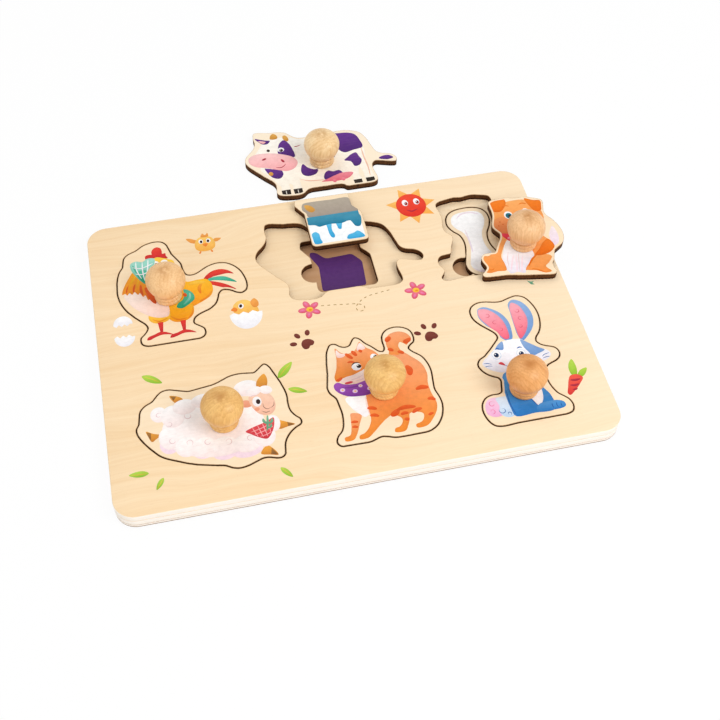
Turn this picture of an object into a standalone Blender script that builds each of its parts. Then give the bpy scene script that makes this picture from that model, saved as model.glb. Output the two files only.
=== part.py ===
"""Farm peg puzzle with two layers, for small children.

A board of three glued sheets holds six knobbed animal plates. Under each animal lies a small
piece that goes with it. The cow, its milk carton and the dog are out of their recesses.

Lengths are in metres, X along the board, Y towards its back and Z up. The origin is the middle
of the board's underside. Cut lines and knob centres are given in drawing units, counted from the
board's front left corner.
"""
import math

import bpy
import bmesh
from mathutils import Matrix, Vector

# Real length of one unit of the drawing
DRAWING_UNIT = 0.001

# Board: wood left round the outermost recesses, and the three sheets
RIM_LEFT = 0.0159
RIM_RIGHT = 0.0174
RIM_FRONT = 0.0155
RIM_BACK = 0.0186
BOARD_CORNER_R = 0.0130
BASE_T = 0.0026
MIDDLE_T = 0.0042
TOP_T = 0.0046
GLUE_LINE = 0.0003

# Loose pieces: thickness, width of the cut round each one, and seating gap
PLATE_T = 0.0048
UNDER_T = 0.0042
CUT_WIDTH = 0.0008
SEAT_GAP = 0.0003
FINGER_R = 0.0080

# Turned knob
KNOB_R = 0.0125
KNOB_CROWN = 0.0094
KNOB_FLARE = 0.0125
KNOB_FLARE_START = math.radians(-49)
FOOT_R = 0.0088
FOOT_T = 0.0032
RING_T = 0.0028
GROOVE = 0.0007

# Countersunk wood screw, driven into the knob from the plate's underside
HEAD_R = 0.0034
HEAD_T = 0.0019
HEAD_EDGE = 0.0003
SHANK_R = 0.0016
SCREW_BITE = 0.0100
TIP_LEN = 0.0025
SCREW_FIT = 0.0003
HEAD_SUNK = 0.0001

# How far a cutter runs past the faces it opens
CUT_PAST = 0.001

# Fineness of curves
CURVE_STEPS = 5
CURVE_TOL = 0.00012
TURN_SIDES = 18

# Heights
MIDDLE_Z = BASE_T + GLUE_LINE
MIDDLE_TOP = MIDDLE_Z + MIDDLE_T
TOP_Z = MIDDLE_TOP + GLUE_LINE
BOARD_TOP = TOP_Z + TOP_T
UNDER_Z = BASE_T + SEAT_GAP
PLATE_Z = max(MIDDLE_TOP, UNDER_Z + UNDER_T) + SEAT_GAP

# Cut lines of the animals
ROOSTER = [
    (42.7, 202.0), (48.0, 201.0), (50.7, 198.0), (52.1, 193.3), (53.2, 189.3), (56.0, 184.3),
    (58.3, 179.5), (58.9, 174.5), (60.6, 169.8), (64.3, 168.6), (68.0, 169.8), (74.0, 173.5),
    (80.7, 175.5), (86.7, 174.7), (91.5, 171.5), (95.1, 166.8), (97.2, 160.8), (98.0, 154.5),
    (96.9, 149.8), (93.7, 147.7), (90.3, 148.7), (86.5, 151.3), (82.0, 152.3), (79.4, 150.2),
    (78.0, 146.0), (75.9, 141.8), (71.3, 138.2), (65.3, 135.8), (61.6, 132.9), (60.7, 129.3),
    (63.5, 126.4), (66.3, 123.8), (66.6, 119.4), (64.0, 116.8), (56.0, 116.5), (38.0, 116.5),
    (30.2, 116.8), (27.3, 118.8), (27.0, 123.3), (29.8, 126.4), (32.0, 130.5), (30.4, 134.5),
    (26.0, 139.2), (21.3, 145.2), (17.6, 152.5), (15.9, 160.0), (15.9, 167.3), (16.9, 174.7),
    (18.6, 180.0), (20.8, 183.6), (21.5, 187.8), (22.6, 191.6), (25.4, 194.3), (30.7, 196.7),
    (36.0, 200.3),
]
SHEEP = [
    (98.2, 88.8), (100.7, 86.4), (103.0, 80.7), (105.1, 75.0), (106.8, 69.0), (107.7, 63.0),
    (107.4, 57.0), (108.0, 52.2), (110.2, 48.2), (112.8, 45.2), (112.7, 42.2), (108.8, 39.9),
    (104.6, 36.3), (101.7, 31.8), (100.5, 27.2), (99.9, 23.3), (97.6, 21.6), (94.2, 21.8),
    (90.3, 23.1), (86.2, 23.0), (81.7, 21.3), (77.0, 19.8), (72.3, 19.5), (68.4, 20.7),
    (65.0, 22.7), (60.3, 23.8), (49.7, 26.5), (40.3, 30.3), (30.3, 35.7), (25.0, 41.5),
    (20.7, 47.7), (18.0, 53.5), (17.8, 57.2), (19.5, 60.5), (20.1, 64.8), (21.2, 69.3),
    (24.3, 72.6), (28.8, 75.0), (31.6, 78.3), (34.6, 80.8), (39.0, 81.5), (44.3, 80.0),
    (50.3, 78.1), (56.3, 78.7), (64.3, 79.7), (69.7, 81.3), (75.2, 83.8), (81.7, 84.7),
    (87.0, 84.3), (91.2, 83.8), (94.5, 86.3),
]
CAT = [
    (140.6, 94.8), (143.8, 94.5), (146.4, 92.3), (149.4, 91.3), (152.3, 92.2), (154.4, 95.4),
    (156.4, 97.2), (158.9, 96.1), (162.0, 91.8), (165.8, 88.0), (168.9, 84.3), (171.6, 83.5),
    (172.9, 86.0), (172.8, 91.3), (173.7, 95.5), (176.7, 98.9), (182.0, 100.4), (187.6, 99.2),
    (191.4, 96.1), (192.6, 91.5), (191.9, 87.2), (189.3, 85.1), (187.6, 82.8), (189.4, 79.6),
    (193.7, 75.4), (196.1, 69.9), (197.0, 63.4), (196.2, 55.9), (195.7, 49.6), (197.0, 44.0),
    (197.5, 39.5), (196.7, 34.4), (194.7, 29.4), (190.8, 24.4), (185.8, 21.6), (180.1, 21.0),
    (164.5, 21.3), (161.2, 22.4), (157.6, 23.3), (154.2, 22.7), (150.1, 21.3), (139.5, 21.3),
    (132.6, 21.7), (130.7, 24.3), (131.8, 28.2), (135.0, 31.7), (136.7, 36.0), (137.5, 44.9),
    (136.8, 51.0), (136.2, 54.8), (133.4, 59.0), (132.5, 63.0), (133.2, 67.3), (134.8, 74.6),
    (135.8, 82.8), (137.3, 89.4),
]
RABBIT = [
    (240.7, 108.7), (236.7, 107.6), (233.6, 104.8), (232.5, 100.6), (233.4, 95.8), (236.7, 90.6),
    (240.8, 86.2), (243.7, 82.2), (244.0, 79.2), (241.8, 76.3), (236.9, 71.4), (232.2, 67.2),
    (228.0, 64.7), (226.2, 61.0), (228.0, 55.8), (232.0, 51.8), (235.7, 49.7), (236.6, 47.6),
    (235.9, 43.8), (234.6, 39.4), (232.3, 38.3), (228.6, 38.4), (224.1, 37.0), (220.9, 33.2),
    (219.8, 28.0), (221.1, 21.3), (224.2, 17.0), (229.5, 15.7), (238.0, 16.2), (262.7, 16.2),
    (269.3, 16.5), (272.8, 18.0), (274.2, 22.0), (273.2, 26.0), (270.8, 29.0), (268.1, 31.6),
    (265.5, 37.6), (264.7, 44.0), (265.3, 49.2), (268.6, 53.0), (274.6, 55.4), (277.7, 58.1),
    (278.4, 61.7), (276.8, 64.9), (272.7, 66.8), (268.7, 69.2), (267.0, 72.0), (267.9, 74.9),
    (270.7, 78.2), (273.1, 82.8), (274.7, 90.2), (274.5, 96.5), (272.7, 102.6), (270.0, 107.2),
    (265.3, 109.4), (260.5, 108.6), (254.7, 106.9), (250.0, 107.1), (245.3, 108.3),
]
COW = [
    (118.2, 202.1), (122.5, 202.5), (129.4, 200.8), (137.0, 200.1), (141.8, 198.2), (145.3, 194.2),
    (149.4, 191.4), (156.0, 190.8), (165.0, 191.2), (175.0, 192.2), (184.0, 192.2), (189.4, 190.7),
    (194.5, 187.9), (197.3, 183.4), (199.1, 178.0), (200.6, 170.6), (202.2, 165.8), (205.0, 163.2),
    (211.4, 161.0), (214.4, 158.2), (215.3, 155.2), (213.7, 152.4), (209.4, 152.8), (204.0, 154.4),
    (199.4, 155.6), (196.8, 153.4), (196.3, 147.5), (197.3, 140.6), (196.9, 137.3), (194.6, 135.4),
    (190.9, 134.7), (180.9, 134.9), (174.0, 135.2), (171.4, 137.3), (168.4, 138.1), (158.0, 138.1),
    (148.0, 138.1), (145.1, 136.5), (143.4, 134.8), (140.0, 133.6), (136.3, 133.5), (129.4, 134.5),
    (125.2, 136.2), (123.7, 139.1), (124.3, 143.0), (124.4, 147.2), (122.7, 150.9), (118.1, 156.2),
    (112.8, 163.1), (108.6, 169.2), (107.2, 173.7), (108.1, 177.5), (110.2, 180.6), (113.5, 183.9),
    (115.8, 187.3), (117.0, 191.4), (116.9, 197.4),
]
DOG = [
    (236.2, 198.4), (238.6, 200.0), (242.6, 200.9), (249.2, 201.9), (254.4, 201.2), (259.6, 202.1),
    (264.2, 201.9), (268.8, 200.6), (272.8, 199.2), (273.9, 196.4), (273.5, 191.8), (273.2, 187.2),
    (274.6, 183.8), (277.5, 180.4), (280.7, 174.8), (282.6, 168.5), (282.5, 162.5), (280.7, 158.2),
    (277.3, 154.9), (274.6, 152.2), (273.7, 148.4), (272.8, 144.4), (271.3, 141.2), (271.6, 137.8),
    (272.9, 134.4), (271.4, 131.9), (267.6, 131.2), (257.0, 131.4), (248.5, 131.5), (240.0, 132.1),
    (234.6, 131.7), (228.2, 131.0), (224.2, 131.6), (223.2, 133.8), (225.2, 136.6), (226.7, 139.6),
    (225.6, 142.4), (224.3, 145.4), (224.7, 149.2), (227.0, 151.6), (230.8, 152.2), (234.2, 152.9),
    (235.6, 156.0), (237.1, 160.4), (239.0, 164.6), (239.4, 168.4), (237.4, 170.9), (235.5, 174.0),
    (235.4, 177.6), (236.3, 181.6), (236.9, 186.0), (236.4, 191.5), (235.6, 195.6),
]

# Cut lines of the small pieces under the animals
CARTON_CORNERS = [
    (143.2, 141.8, 3.4), (182.3, 141.8, 3.4), (182.3, 167.8, 5.0), (177.0, 174.6, 3.0),
    (177.0, 186.6, 1.8), (139.0, 186.6, 2.2), (138.0, 180.8, 2.2), (143.2, 172.2, 3.4),
]
BONE = [
    (247.3, 194.6), (254.5, 195.7), (261.8, 195.1), (266.6, 192.8), (269.4, 188.4), (269.8, 182.6),
    (267.8, 176.2), (264.8, 170.6), (263.7, 164.8), (264.3, 158.6), (266.3, 152.8), (268.2, 147.0),
    (267.6, 140.6), (264.0, 136.2), (257.4, 134.8), (250.4, 134.4), (245.6, 137.0), (243.2, 140.8),
    (242.6, 145.4), (244.0, 151.0), (246.3, 158.4), (247.1, 164.8), (245.8, 171.4), (241.9, 176.4),
    (239.7, 181.6), (240.2, 187.4), (242.9, 192.0),
]
FISH = [
    (144.0, 50.0), (148.5, 56.4), (156.0, 60.6), (165.0, 61.4), (173.0, 58.0), (179.0, 53.6),
    (186.4, 59.6), (189.0, 57.6), (187.4, 50.0), (189.0, 42.4), (186.4, 40.4), (179.0, 46.4),
    (173.0, 42.0), (165.0, 38.6), (156.0, 39.4), (148.5, 43.6),
]
CARROT = [
    (249.5, 21.5), (246.6, 30.0), (243.6, 40.0), (241.8, 50.0), (242.2, 57.0), (245.4, 61.4),
    (243.8, 68.6), (247.2, 72.6), (251.0, 74.0), (255.2, 72.6), (258.2, 68.4), (256.2, 61.4),
    (259.2, 56.6), (259.4, 49.6), (257.2, 39.6), (253.8, 29.6), (251.9, 21.5),
]
EGG_MID = (43.0, 163.0)
EGG_HALF_W = 0.0125
EGG_HALF_H = 0.0160
EGG_POINT = 0.14
WOOL_MID = (64.0, 52.0)
WOOL_R = 0.0170
WOOL_TUFTS = 10
WOOL_TUFT = 0.0007

# Knob centres on the drawing
KNOB_AT = {
    "rooster": (47.5, 153.8), "sheep": (68.6, 52.4), "cat": (165.7, 55.6),
    "rabbit": (248.2, 38.7), "cow": (161.5, 163.5), "dog": (253.9, 159.1),
}

# Pieces that are out: the cow on the table behind the board, dog and carton on the board
COW_BEHIND = 0.0118
COW_ASIDE = 0.0073
COW_TURN = math.radians(1.0)
DOG_FROM_RIGHT = 0.0187
DOG_FORWARD = 0.0115
DOG_TURN = math.radians(-8.4)
CARTON_ASIDE = 0.0013
CARTON_BACK = 0.0306

# Colours: bare ply, beech, steel and the body colour of each print
PLY = (0.80, 0.62, 0.40)
BEECH = (0.78, 0.56, 0.32)
STEEL = (0.62, 0.62, 0.60)


def drawn(point):
    """A point of the drawing as its real place from the drawing's corner."""
    return Vector(point) * DRAWING_UNIT


def polar(mid, radius, count):
    """Points round mid at the distance that radius(angle) gives."""
    angles = [2 * math.pi * k / count for k in range(count)]
    return [mid + radius(a) * Vector((math.cos(a), math.sin(a))) for a in angles]


def egg():
    """An egg with its point towards the back."""
    middle = drawn(EGG_MID)
    points = []
    for k in range(24):
        a = 2 * math.pi * k / 24
        half = EGG_HALF_W * (1 - EGG_POINT * math.sin(a))
        points.append(middle + Vector((half * math.cos(a), EGG_HALF_H * math.sin(a))))
    return points


def wool():
    """A ball of wool with a softly tufted edge."""
    return polar(drawn(WOOL_MID), lambda a: WOOL_R + WOOL_TUFT * math.cos(WOOL_TUFTS * a), 4 * WOOL_TUFTS)


def area(loop):
    """Signed area, positive when the loop runs anticlockwise."""
    return 0.5 * sum(a.x * b.y - b.x * a.y for a, b in zip(loop, loop[1:] + loop[:1]))


def thin(loop):
    """Drop the points that lie within CURVE_TOL of the line between kept points."""
    kept = [loop[0]]
    last = 0
    closed = loop + loop[:1]
    for end in range(2, len(closed)):
        a, b = closed[last], closed[end]
        along = (b - a).normalized()
        for p in closed[last + 1:end]:
            off = p - a
            if abs(along.x * off.y - along.y * off.x) > CURVE_TOL:
                kept.append(closed[end - 1])
                last = end - 1
                break
    return kept


def smooth(pts):
    """A closed centripetal Catmull-Rom curve through the points."""
    count = len(pts)
    loop = []
    for i in range(count):
        p = [pts[(i + k - 1) % count] for k in range(4)]
        t = [0.0]
        for a, b in zip(p, p[1:]):
            t.append(t[-1] + math.sqrt((b - a).length))
        for k in range(CURVE_STEPS):
            s = t[1] + (t[2] - t[1]) * k / CURVE_STEPS
            a1 = p[0].lerp(p[1], (s - t[0]) / (t[1] - t[0]))
            a2 = p[1].lerp(p[2], (s - t[1]) / (t[2] - t[1]))
            a3 = p[2].lerp(p[3], (s - t[2]) / (t[3] - t[2]))
            b1 = a1.lerp(a2, (s - t[0]) / (t[2] - t[0]))
            b2 = a2.lerp(a3, (s - t[1]) / (t[3] - t[1]))
            loop.append(b1.lerp(b2, (s - t[1]) / (t[2] - t[1])))
    if area(loop) < 0:
        loop.reverse()
    return thin(loop)


def rounded(corners, steps=4):
    """A closed anticlockwise outline from corners (x, y, radius)."""
    loop = []
    count = len(corners)
    for i, (x, y, radius) in enumerate(corners):
        here = Vector((x, y))
        back = (Vector(corners[i - 1][:2]) - here).normalized()
        ahead = (Vector(corners[(i + 1) % count][:2]) - here).normalized()
        half = back.angle(ahead) / 2
        start = here + back * radius / math.tan(half)
        centre = here + (back + ahead).normalized() * radius / math.sin(half)
        turn = back.cross(ahead)
        sweep = math.copysign(math.pi - 2 * half, -turn)
        for k in range(steps + 1):
            arm = Matrix.Rotation(sweep * k / steps, 2) @ (start - centre)
            loop.append(centre + arm)
    return loop


def grow(loop, amount):
    """Move an anticlockwise outline outwards by amount, or inwards if it is negative."""
    out = []
    for i, p in enumerate(loop):
        d1 = (p - loop[i - 1]).normalized()
        d2 = (loop[(i + 1) % len(loop)] - p).normalized()
        normal = Vector((d1.y + d2.y, -d1.x - d2.x)).normalized()
        lean = max(0.5, normal.x * d1.y - normal.y * d1.x)
        out.append(p + normal * amount / lean)
    return out


def material(name, colour, roughness=0.55, metallic=0.0):
    mat = bpy.data.materials.new(name)
    mat.use_nodes = True
    shader = mat.node_tree.nodes["Principled BSDF"]
    shader.inputs["Base Color"].default_value = (*colour, 1.0)
    shader.inputs["Roughness"].default_value = roughness
    shader.inputs["Metallic"].default_value = metallic
    mat.diffuse_color = (*colour, 1.0)
    return mat


def add_object(name, bm, mat=None, parent=None):
    bmesh.ops.recalc_face_normals(bm, faces=bm.faces)
    mesh = bpy.data.meshes.new(name)
    bm.to_mesh(mesh)
    bm.free()
    obj = bpy.data.objects.new(name, mesh)
    bpy.context.scene.collection.objects.link(obj)
    if mat:
        mesh.materials.append(mat)
    obj.parent = parent
    return obj


def slab(name, loop, z0, z1, mat=None, parent=None, middle=(0.0, 0.0)):
    """A sheet with the outline loop, drawn about middle, from height z0 to z1."""
    bm = bmesh.new()
    face = bm.faces.new([bm.verts.new((p.x - middle[0], p.y - middle[1], z0)) for p in loop])
    raised = bmesh.ops.extrude_face_region(bm, geom=[face])["geom"]
    top = [v for v in raised if isinstance(v, bmesh.types.BMVert)]
    bmesh.ops.translate(bm, verts=top, vec=(0, 0, z1 - z0))
    return add_object(name, bm, mat, parent)


def turned(name, profile, mat=None, parent=None):
    """A piece turned round Z from (radius, z) points that start and end on the axis."""
    bm = bmesh.new()
    rings = []
    for radius, z in profile:
        if radius == 0:
            rings.append([bm.verts.new((0, 0, z))])
            continue
        angles = [2 * math.pi * k / TURN_SIDES for k in range(TURN_SIDES)]
        rings.append([bm.verts.new((radius * math.cos(a), radius * math.sin(a), z)) for a in angles])
    for low, high in zip(rings, rings[1:]):
        for k in range(TURN_SIDES):
            n = (k + 1) % TURN_SIDES
            if len(low) == 1:
                bm.faces.new((low[0], high[k], high[n]))
            elif len(high) == 1:
                bm.faces.new((low[k], low[n], high[0]))
            else:
                bm.faces.new((low[k], low[n], high[n], high[k]))
    obj = add_object(name, bm, mat, parent)
    obj.data.shade_smooth()
    obj.data.set_sharp_from_angle(angle=math.radians(40))
    return obj


def cut(target, cutter):
    """Take the cutter's shape out of target."""
    cutter.hide_render = True
    cutter.display_type = "WIRE"
    bite = target.modifiers.new(cutter.name, "BOOLEAN")
    bite.operation = "DIFFERENCE"
    bite.solver = "EXACT"
    bite.object = cutter


def knob_profile():
    """Foot, ring and flared crown over a blind pilot hole, from the axis round to the axis."""
    pilot_r = SHANK_R + SCREW_FIT
    points = [(0, SCREW_BITE + SCREW_FIT), (pilot_r, SCREW_BITE + SCREW_FIT), (pilot_r, 0)]
    for low, high in ((0, FOOT_T), (FOOT_T, FOOT_T + RING_T)):
        points.append((FOOT_R - GROOVE, low))
        points.append((FOOT_R, low + 0.3 * (high - low)))
        points.append((FOOT_R, low + 0.7 * (high - low)))
    points.append((FOOT_R - GROOVE, FOOT_T + RING_T))
    flare_low = math.sin(-KNOB_FLARE_START) * KNOB_FLARE
    mid_z = FOOT_T + RING_T + GROOVE + flare_low
    for k in range(9):
        a = KNOB_FLARE_START + (math.pi / 2 - KNOB_FLARE_START) * k / 8
        rise = KNOB_FLARE if a < 0 else KNOB_CROWN
        radius = KNOB_R * math.cos(a) if k < 8 else 0
        points.append((radius, mid_z + rise * math.sin(a)))
    return points


def screw_profile():
    """Countersunk head, plain shank and point, from the head's flat face up."""
    top = PLATE_T + SCREW_BITE - SEAT_GAP
    return [
        (0, HEAD_SUNK), (HEAD_R, HEAD_SUNK), (HEAD_R, HEAD_SUNK + HEAD_EDGE),
        (SHANK_R, HEAD_T), (SHANK_R, top - TIP_LEN), (0, top),
    ]


def screw_hole_profile():
    """The plate's countersunk hole, open at both faces."""
    wide = HEAD_R + SCREW_FIT
    narrow = SHANK_R + SCREW_FIT
    sunk = HEAD_SUNK + HEAD_EDGE + SCREW_FIT
    past = PLATE_T + CUT_PAST
    return [
        (0, -CUT_PAST), (wide, -CUT_PAST), (wide, sunk),
        (narrow, HEAD_T + SCREW_FIT), (narrow, past), (0, past),
    ]


def pivot(name, spot, z, turn=0.0):
    """An empty on a piece's lifting axis, at spot, counted from the drawing's corner."""
    empty = bpy.data.objects.new(name, None)
    empty.empty_display_size = KNOB_R
    empty.location = (spot[0] - MID[0], spot[1] - MID[1], z)
    empty.rotation_euler = (0, 0, turn)
    bpy.context.scene.collection.objects.link(empty)
    return empty


def add_animal(name, line, colour, moved=None):
    """A plate with its knob and screw. moved is (spot, height, turn) of a plate that is out."""
    middle = drawn(KNOB_AT[name])
    spot, height, turn = moved or (middle, PLATE_Z, 0.0)
    stand = pivot(name + "_axis", spot, height, turn)
    outline = grow(line, -CUT_WIDTH / 2)
    plate = slab(name + "_plate", outline, 0, PLATE_T, material(name + "_print", colour), stand, middle)
    hole = turned(name + "_screw_hole", screw_hole_profile(), None, stand)
    cut(plate, hole)
    knob = turned(name + "_knob", knob_profile(), KNOB_WOOD, stand)
    knob.location.z = PLATE_T + SEAT_GAP
    turned(name + "_screw", screw_profile(), SCREW_STEEL, stand)


def add_under(name, line, finger_at, colour, moved=None):
    """A small piece of the lower layer, and its cavity and finger hole in the middle sheet."""
    middle = sum(line, Vector((0, 0))) / len(line)
    spot, height, turn = moved or (middle, UNDER_Z, 0.0)
    stand = pivot(name + "_axis", spot, height, turn)
    outline = grow(line, -CUT_WIDTH / 2)
    slab(name + "_piece", outline, 0, UNDER_T, material(name + "_print", colour), stand, middle)
    low, high = MIDDLE_Z - CUT_PAST, MIDDLE_TOP + CUT_PAST
    cavity = grow(line, CUT_WIDTH / 2)
    cut(middle_board, slab(name + "_cavity", cavity, low, high, middle=MID))
    round_cut = smooth(polar(drawn(finger_at), lambda a: FINGER_R, 24))
    cut(middle_board, slab(name + "_finger_hole", round_cut, low, high, middle=MID))


for old in list(bpy.data.objects):
    bpy.data.objects.remove(old, do_unlink=True)

animals = {"rooster": ROOSTER, "sheep": SHEEP, "cat": CAT, "rabbit": RABBIT, "cow": COW, "dog": DOG}
lines = {animal: smooth([drawn(p) for p in points]) for animal, points in animals.items()}
under_lines = {
    "egg": smooth(egg()), "wool": smooth(wool()), "fish": smooth([drawn(p) for p in FISH]),
    "carrot": smooth([drawn(p) for p in CARROT]), "bone": smooth([drawn(p) for p in BONE]),
    "carton": rounded([drawn(corner) for corner in CARTON_CORNERS]),
}

# The board's size follows from its recesses and the rims round them
every = [p for line in lines.values() for p in line]
left = min(p.x for p in every) - RIM_LEFT
right = max(p.x for p in every) + RIM_RIGHT
front = min(p.y for p in every) - RIM_FRONT
back = max(p.y for p in every) + RIM_BACK
MID = Vector(((left + right) / 2, (front + back) / 2))
board_line = rounded([
    (left, front, BOARD_CORNER_R), (right, front, BOARD_CORNER_R),
    (right, back, BOARD_CORNER_R), (left, back, BOARD_CORNER_R),
], steps=7)

PLYWOOD = material("ply", PLY)
KNOB_WOOD = material("beech", BEECH, 0.45)
SCREW_STEEL = material("steel", STEEL, 0.35, 1.0)

base_board = slab("base_board", board_line, 0, BASE_T, PLYWOOD, middle=MID)
middle_board = slab("middle_board", board_line, MIDDLE_Z, MIDDLE_TOP, PLYWOOD, middle=MID)
top_board = slab("top_board", board_line, TOP_Z, BOARD_TOP, PLYWOOD, middle=MID)
for animal, line in lines.items():
    recess = grow(line, CUT_WIDTH / 2)
    low, high = TOP_Z - CUT_PAST, BOARD_TOP + CUT_PAST
    cut(top_board, slab(animal + "_recess", recess, low, high, middle=MID))

# Where the pieces that are out lie
ON_BOARD = BOARD_TOP + SEAT_GAP
cow_x, cow_y = (DRAWING_UNIT * c for c in KNOB_AT["cow"])
dog_y = DRAWING_UNIT * KNOB_AT["dog"][1]
cow_reach = cow_y - min(p.y for p in lines["cow"])
cow_spot = Vector((cow_x + COW_ASIDE, back + COW_BEHIND + cow_reach))
dog_spot = Vector((right - DOG_FROM_RIGHT, dog_y - DOG_FORWARD))
carton_mid = sum(under_lines["carton"], Vector((0, 0))) / len(under_lines["carton"])
carton_spot = carton_mid + Vector((CARTON_ASIDE, CARTON_BACK))

add_animal("rooster", lines["rooster"], (0.86, 0.42, 0.08))
add_animal("sheep", lines["sheep"], (0.86, 0.76, 0.74))
add_animal("cat", lines["cat"], (0.86, 0.33, 0.08))
add_animal("rabbit", lines["rabbit"], (0.12, 0.34, 0.66))
add_animal("cow", lines["cow"], (0.84, 0.78, 0.68), (cow_spot, 0.0, COW_TURN))
add_animal("dog", lines["dog"], (0.86, 0.36, 0.08), (dog_spot, ON_BOARD, DOG_TURN))

add_under("egg", under_lines["egg"], (57.5, 157.0), (0.86, 0.82, 0.74))
add_under("wool", under_lines["wool"], (83.0, 52.0), (0.62, 0.16, 0.20))
add_under("fish", under_lines["fish"], (166.0, 36.5), (0.16, 0.42, 0.62))
add_under("carrot", under_lines["carrot"], (239.5, 59.0), (0.84, 0.24, 0.08))
add_under("bone", under_lines["bone"], (241.6, 143.9), (0.84, 0.80, 0.76))
add_under("carton", under_lines["carton"], (142.5, 158.5), (0.20, 0.46, 0.62),
          (carton_spot, ON_BOARD, 0.0))
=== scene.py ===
"""Looks of the two-layer farm peg puzzle: printed ply sheets, turned knobs, floor, light, camera.

Points of the prints are millimetres on the puzzle's own drawing, from the board's front left
corner, X along the board and Y towards its back.
"""
import math
import random
import re

import bpy
import numpy as np
from mathutils import Matrix, Vector, geometry, kdtree


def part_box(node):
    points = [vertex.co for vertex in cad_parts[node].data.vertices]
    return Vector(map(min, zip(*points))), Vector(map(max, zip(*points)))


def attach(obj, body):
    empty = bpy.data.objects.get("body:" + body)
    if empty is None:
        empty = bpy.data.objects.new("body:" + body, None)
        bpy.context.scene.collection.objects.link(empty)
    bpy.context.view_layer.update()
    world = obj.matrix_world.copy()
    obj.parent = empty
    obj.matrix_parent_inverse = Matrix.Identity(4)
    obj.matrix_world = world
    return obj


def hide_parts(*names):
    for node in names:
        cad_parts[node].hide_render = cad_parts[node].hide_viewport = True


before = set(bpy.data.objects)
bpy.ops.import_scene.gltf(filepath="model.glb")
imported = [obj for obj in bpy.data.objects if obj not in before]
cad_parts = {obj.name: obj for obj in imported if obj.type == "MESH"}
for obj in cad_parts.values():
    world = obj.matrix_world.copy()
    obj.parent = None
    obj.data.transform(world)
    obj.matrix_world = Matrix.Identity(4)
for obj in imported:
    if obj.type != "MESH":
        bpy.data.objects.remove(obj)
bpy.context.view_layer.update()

MM = 0.001
scene = bpy.context.scene

# Camera
EYE = Vector((-0.08643, -0.40790, 0.54541))
CAMERA_RIGHT = Vector((0.97637, -0.21543, 0.01736))
CAMERA_UP = Vector((0.16424, 0.79177, 0.58832))
LENS, SENSOR = 53.79, 36.0
NEAREST, FARTHEST = 0.01, 50.0

lens = bpy.data.cameras.new("camera")
lens.lens = LENS
lens.sensor_width = SENSOR
lens.clip_start, lens.clip_end = NEAREST, FARTHEST
camera = bpy.data.objects.new("camera", lens)
right = CAMERA_RIGHT.normalized()
back = right.cross(CAMERA_UP).normalized()
camera.matrix_world = Matrix.Translation(EYE) @ Matrix((right, back.cross(right), back)).transposed().to_4x4()
scene.collection.objects.link(camera)
scene.camera = camera

# The knob centres on the drawing, and the drawing's place in the frame
KNOB_AT = {
    "rooster": (47.5, 153.8), "sheep": (68.6, 52.4), "cat": (165.7, 55.6),
    "rabbit": (248.2, 38.7), "cow": (161.5, 163.5), "dog": (253.9, 159.1),
}


def middle(node):
    """The middle of a CAD node, seen from above, in millimetres of the frame."""
    low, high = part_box(node)
    return np.array([(low[k] + high[k]) / 2 / MM for k in (0, 1)])


ORIGIN = middle("sheep_knob") - KNOB_AT["sheep"]

# Outlines, in millimetres: the steps of drawn curves, and what counts as no length
DRAW_STEP = 0.55
SHORT = 1e-6
TINY = 1e-9
# CAD corners are told apart on this grid, and a CAD face is flat within this height, in metres
CORNER_GRID = 1e-6
FLAT_WITHIN = 1e-5
# How many pairs of a point and an edge are worked on at once
CHUNK = 4_000_000


def curve(points, step=DRAW_STEP, closed=True, longest=None):
    """Points about step apart on a centripetal Catmull-Rom curve. Runs over longest stay straight."""
    pts = np.asarray(points, float)
    count = len(pts)
    out = []
    for i in range(count if closed else count - 1):
        around = (i - 1, i, i + 1, i + 2)
        p = [pts[j % count] if closed else pts[min(max(j, 0), count - 1)] for j in around]
        length = np.linalg.norm(p[2] - p[1])
        if longest and length > longest:
            out.append(p[1])
            continue
        t = [0.0]
        for a, b in zip(p, p[1:]):
            t.append(t[-1] + max(np.linalg.norm(b - a) ** 0.5, SHORT))
        steps = max(1, math.ceil(length / step))
        for k in range(steps):
            s = t[1] + (t[2] - t[1]) * k / steps
            a = [p[j] + (p[j + 1] - p[j]) * (s - t[j]) / (t[j + 1] - t[j]) for j in range(3)]
            b = [a[j] + (a[j + 1] - a[j]) * (s - t[j]) / (t[j + 2] - t[j]) for j in range(2)]
            out.append(b[0] + (b[1] - b[0]) * (s - t[1]) / (t[2] - t[1]))
    if not closed:
        out.append(pts[-1])
    return np.array(out)


def unit(vectors):
    """Vectors brought to length one."""
    return vectors / np.maximum(np.linalg.norm(vectors, axis=1), TINY)[:, None]


def leftward(vectors):
    """Vectors turned left by a right angle."""
    return np.stack([-vectors[:, 1], vectors[:, 0]], 1)


def inset(loop, amount):
    """An outline moved into the material on its left."""
    before = unit(loop - np.roll(loop, 1, 0))
    after = np.roll(before, -1, 0)
    along = unit(before + after)
    lean = np.maximum(0.5, (along * after).sum(1))
    return loop + leftward(along) * (amount / lean)[:, None]


def lengths(line):
    """How far along a line each of its points lies."""
    return np.concatenate([[0], np.cumsum(np.linalg.norm(np.diff(line, axis=0), axis=1))])


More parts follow.
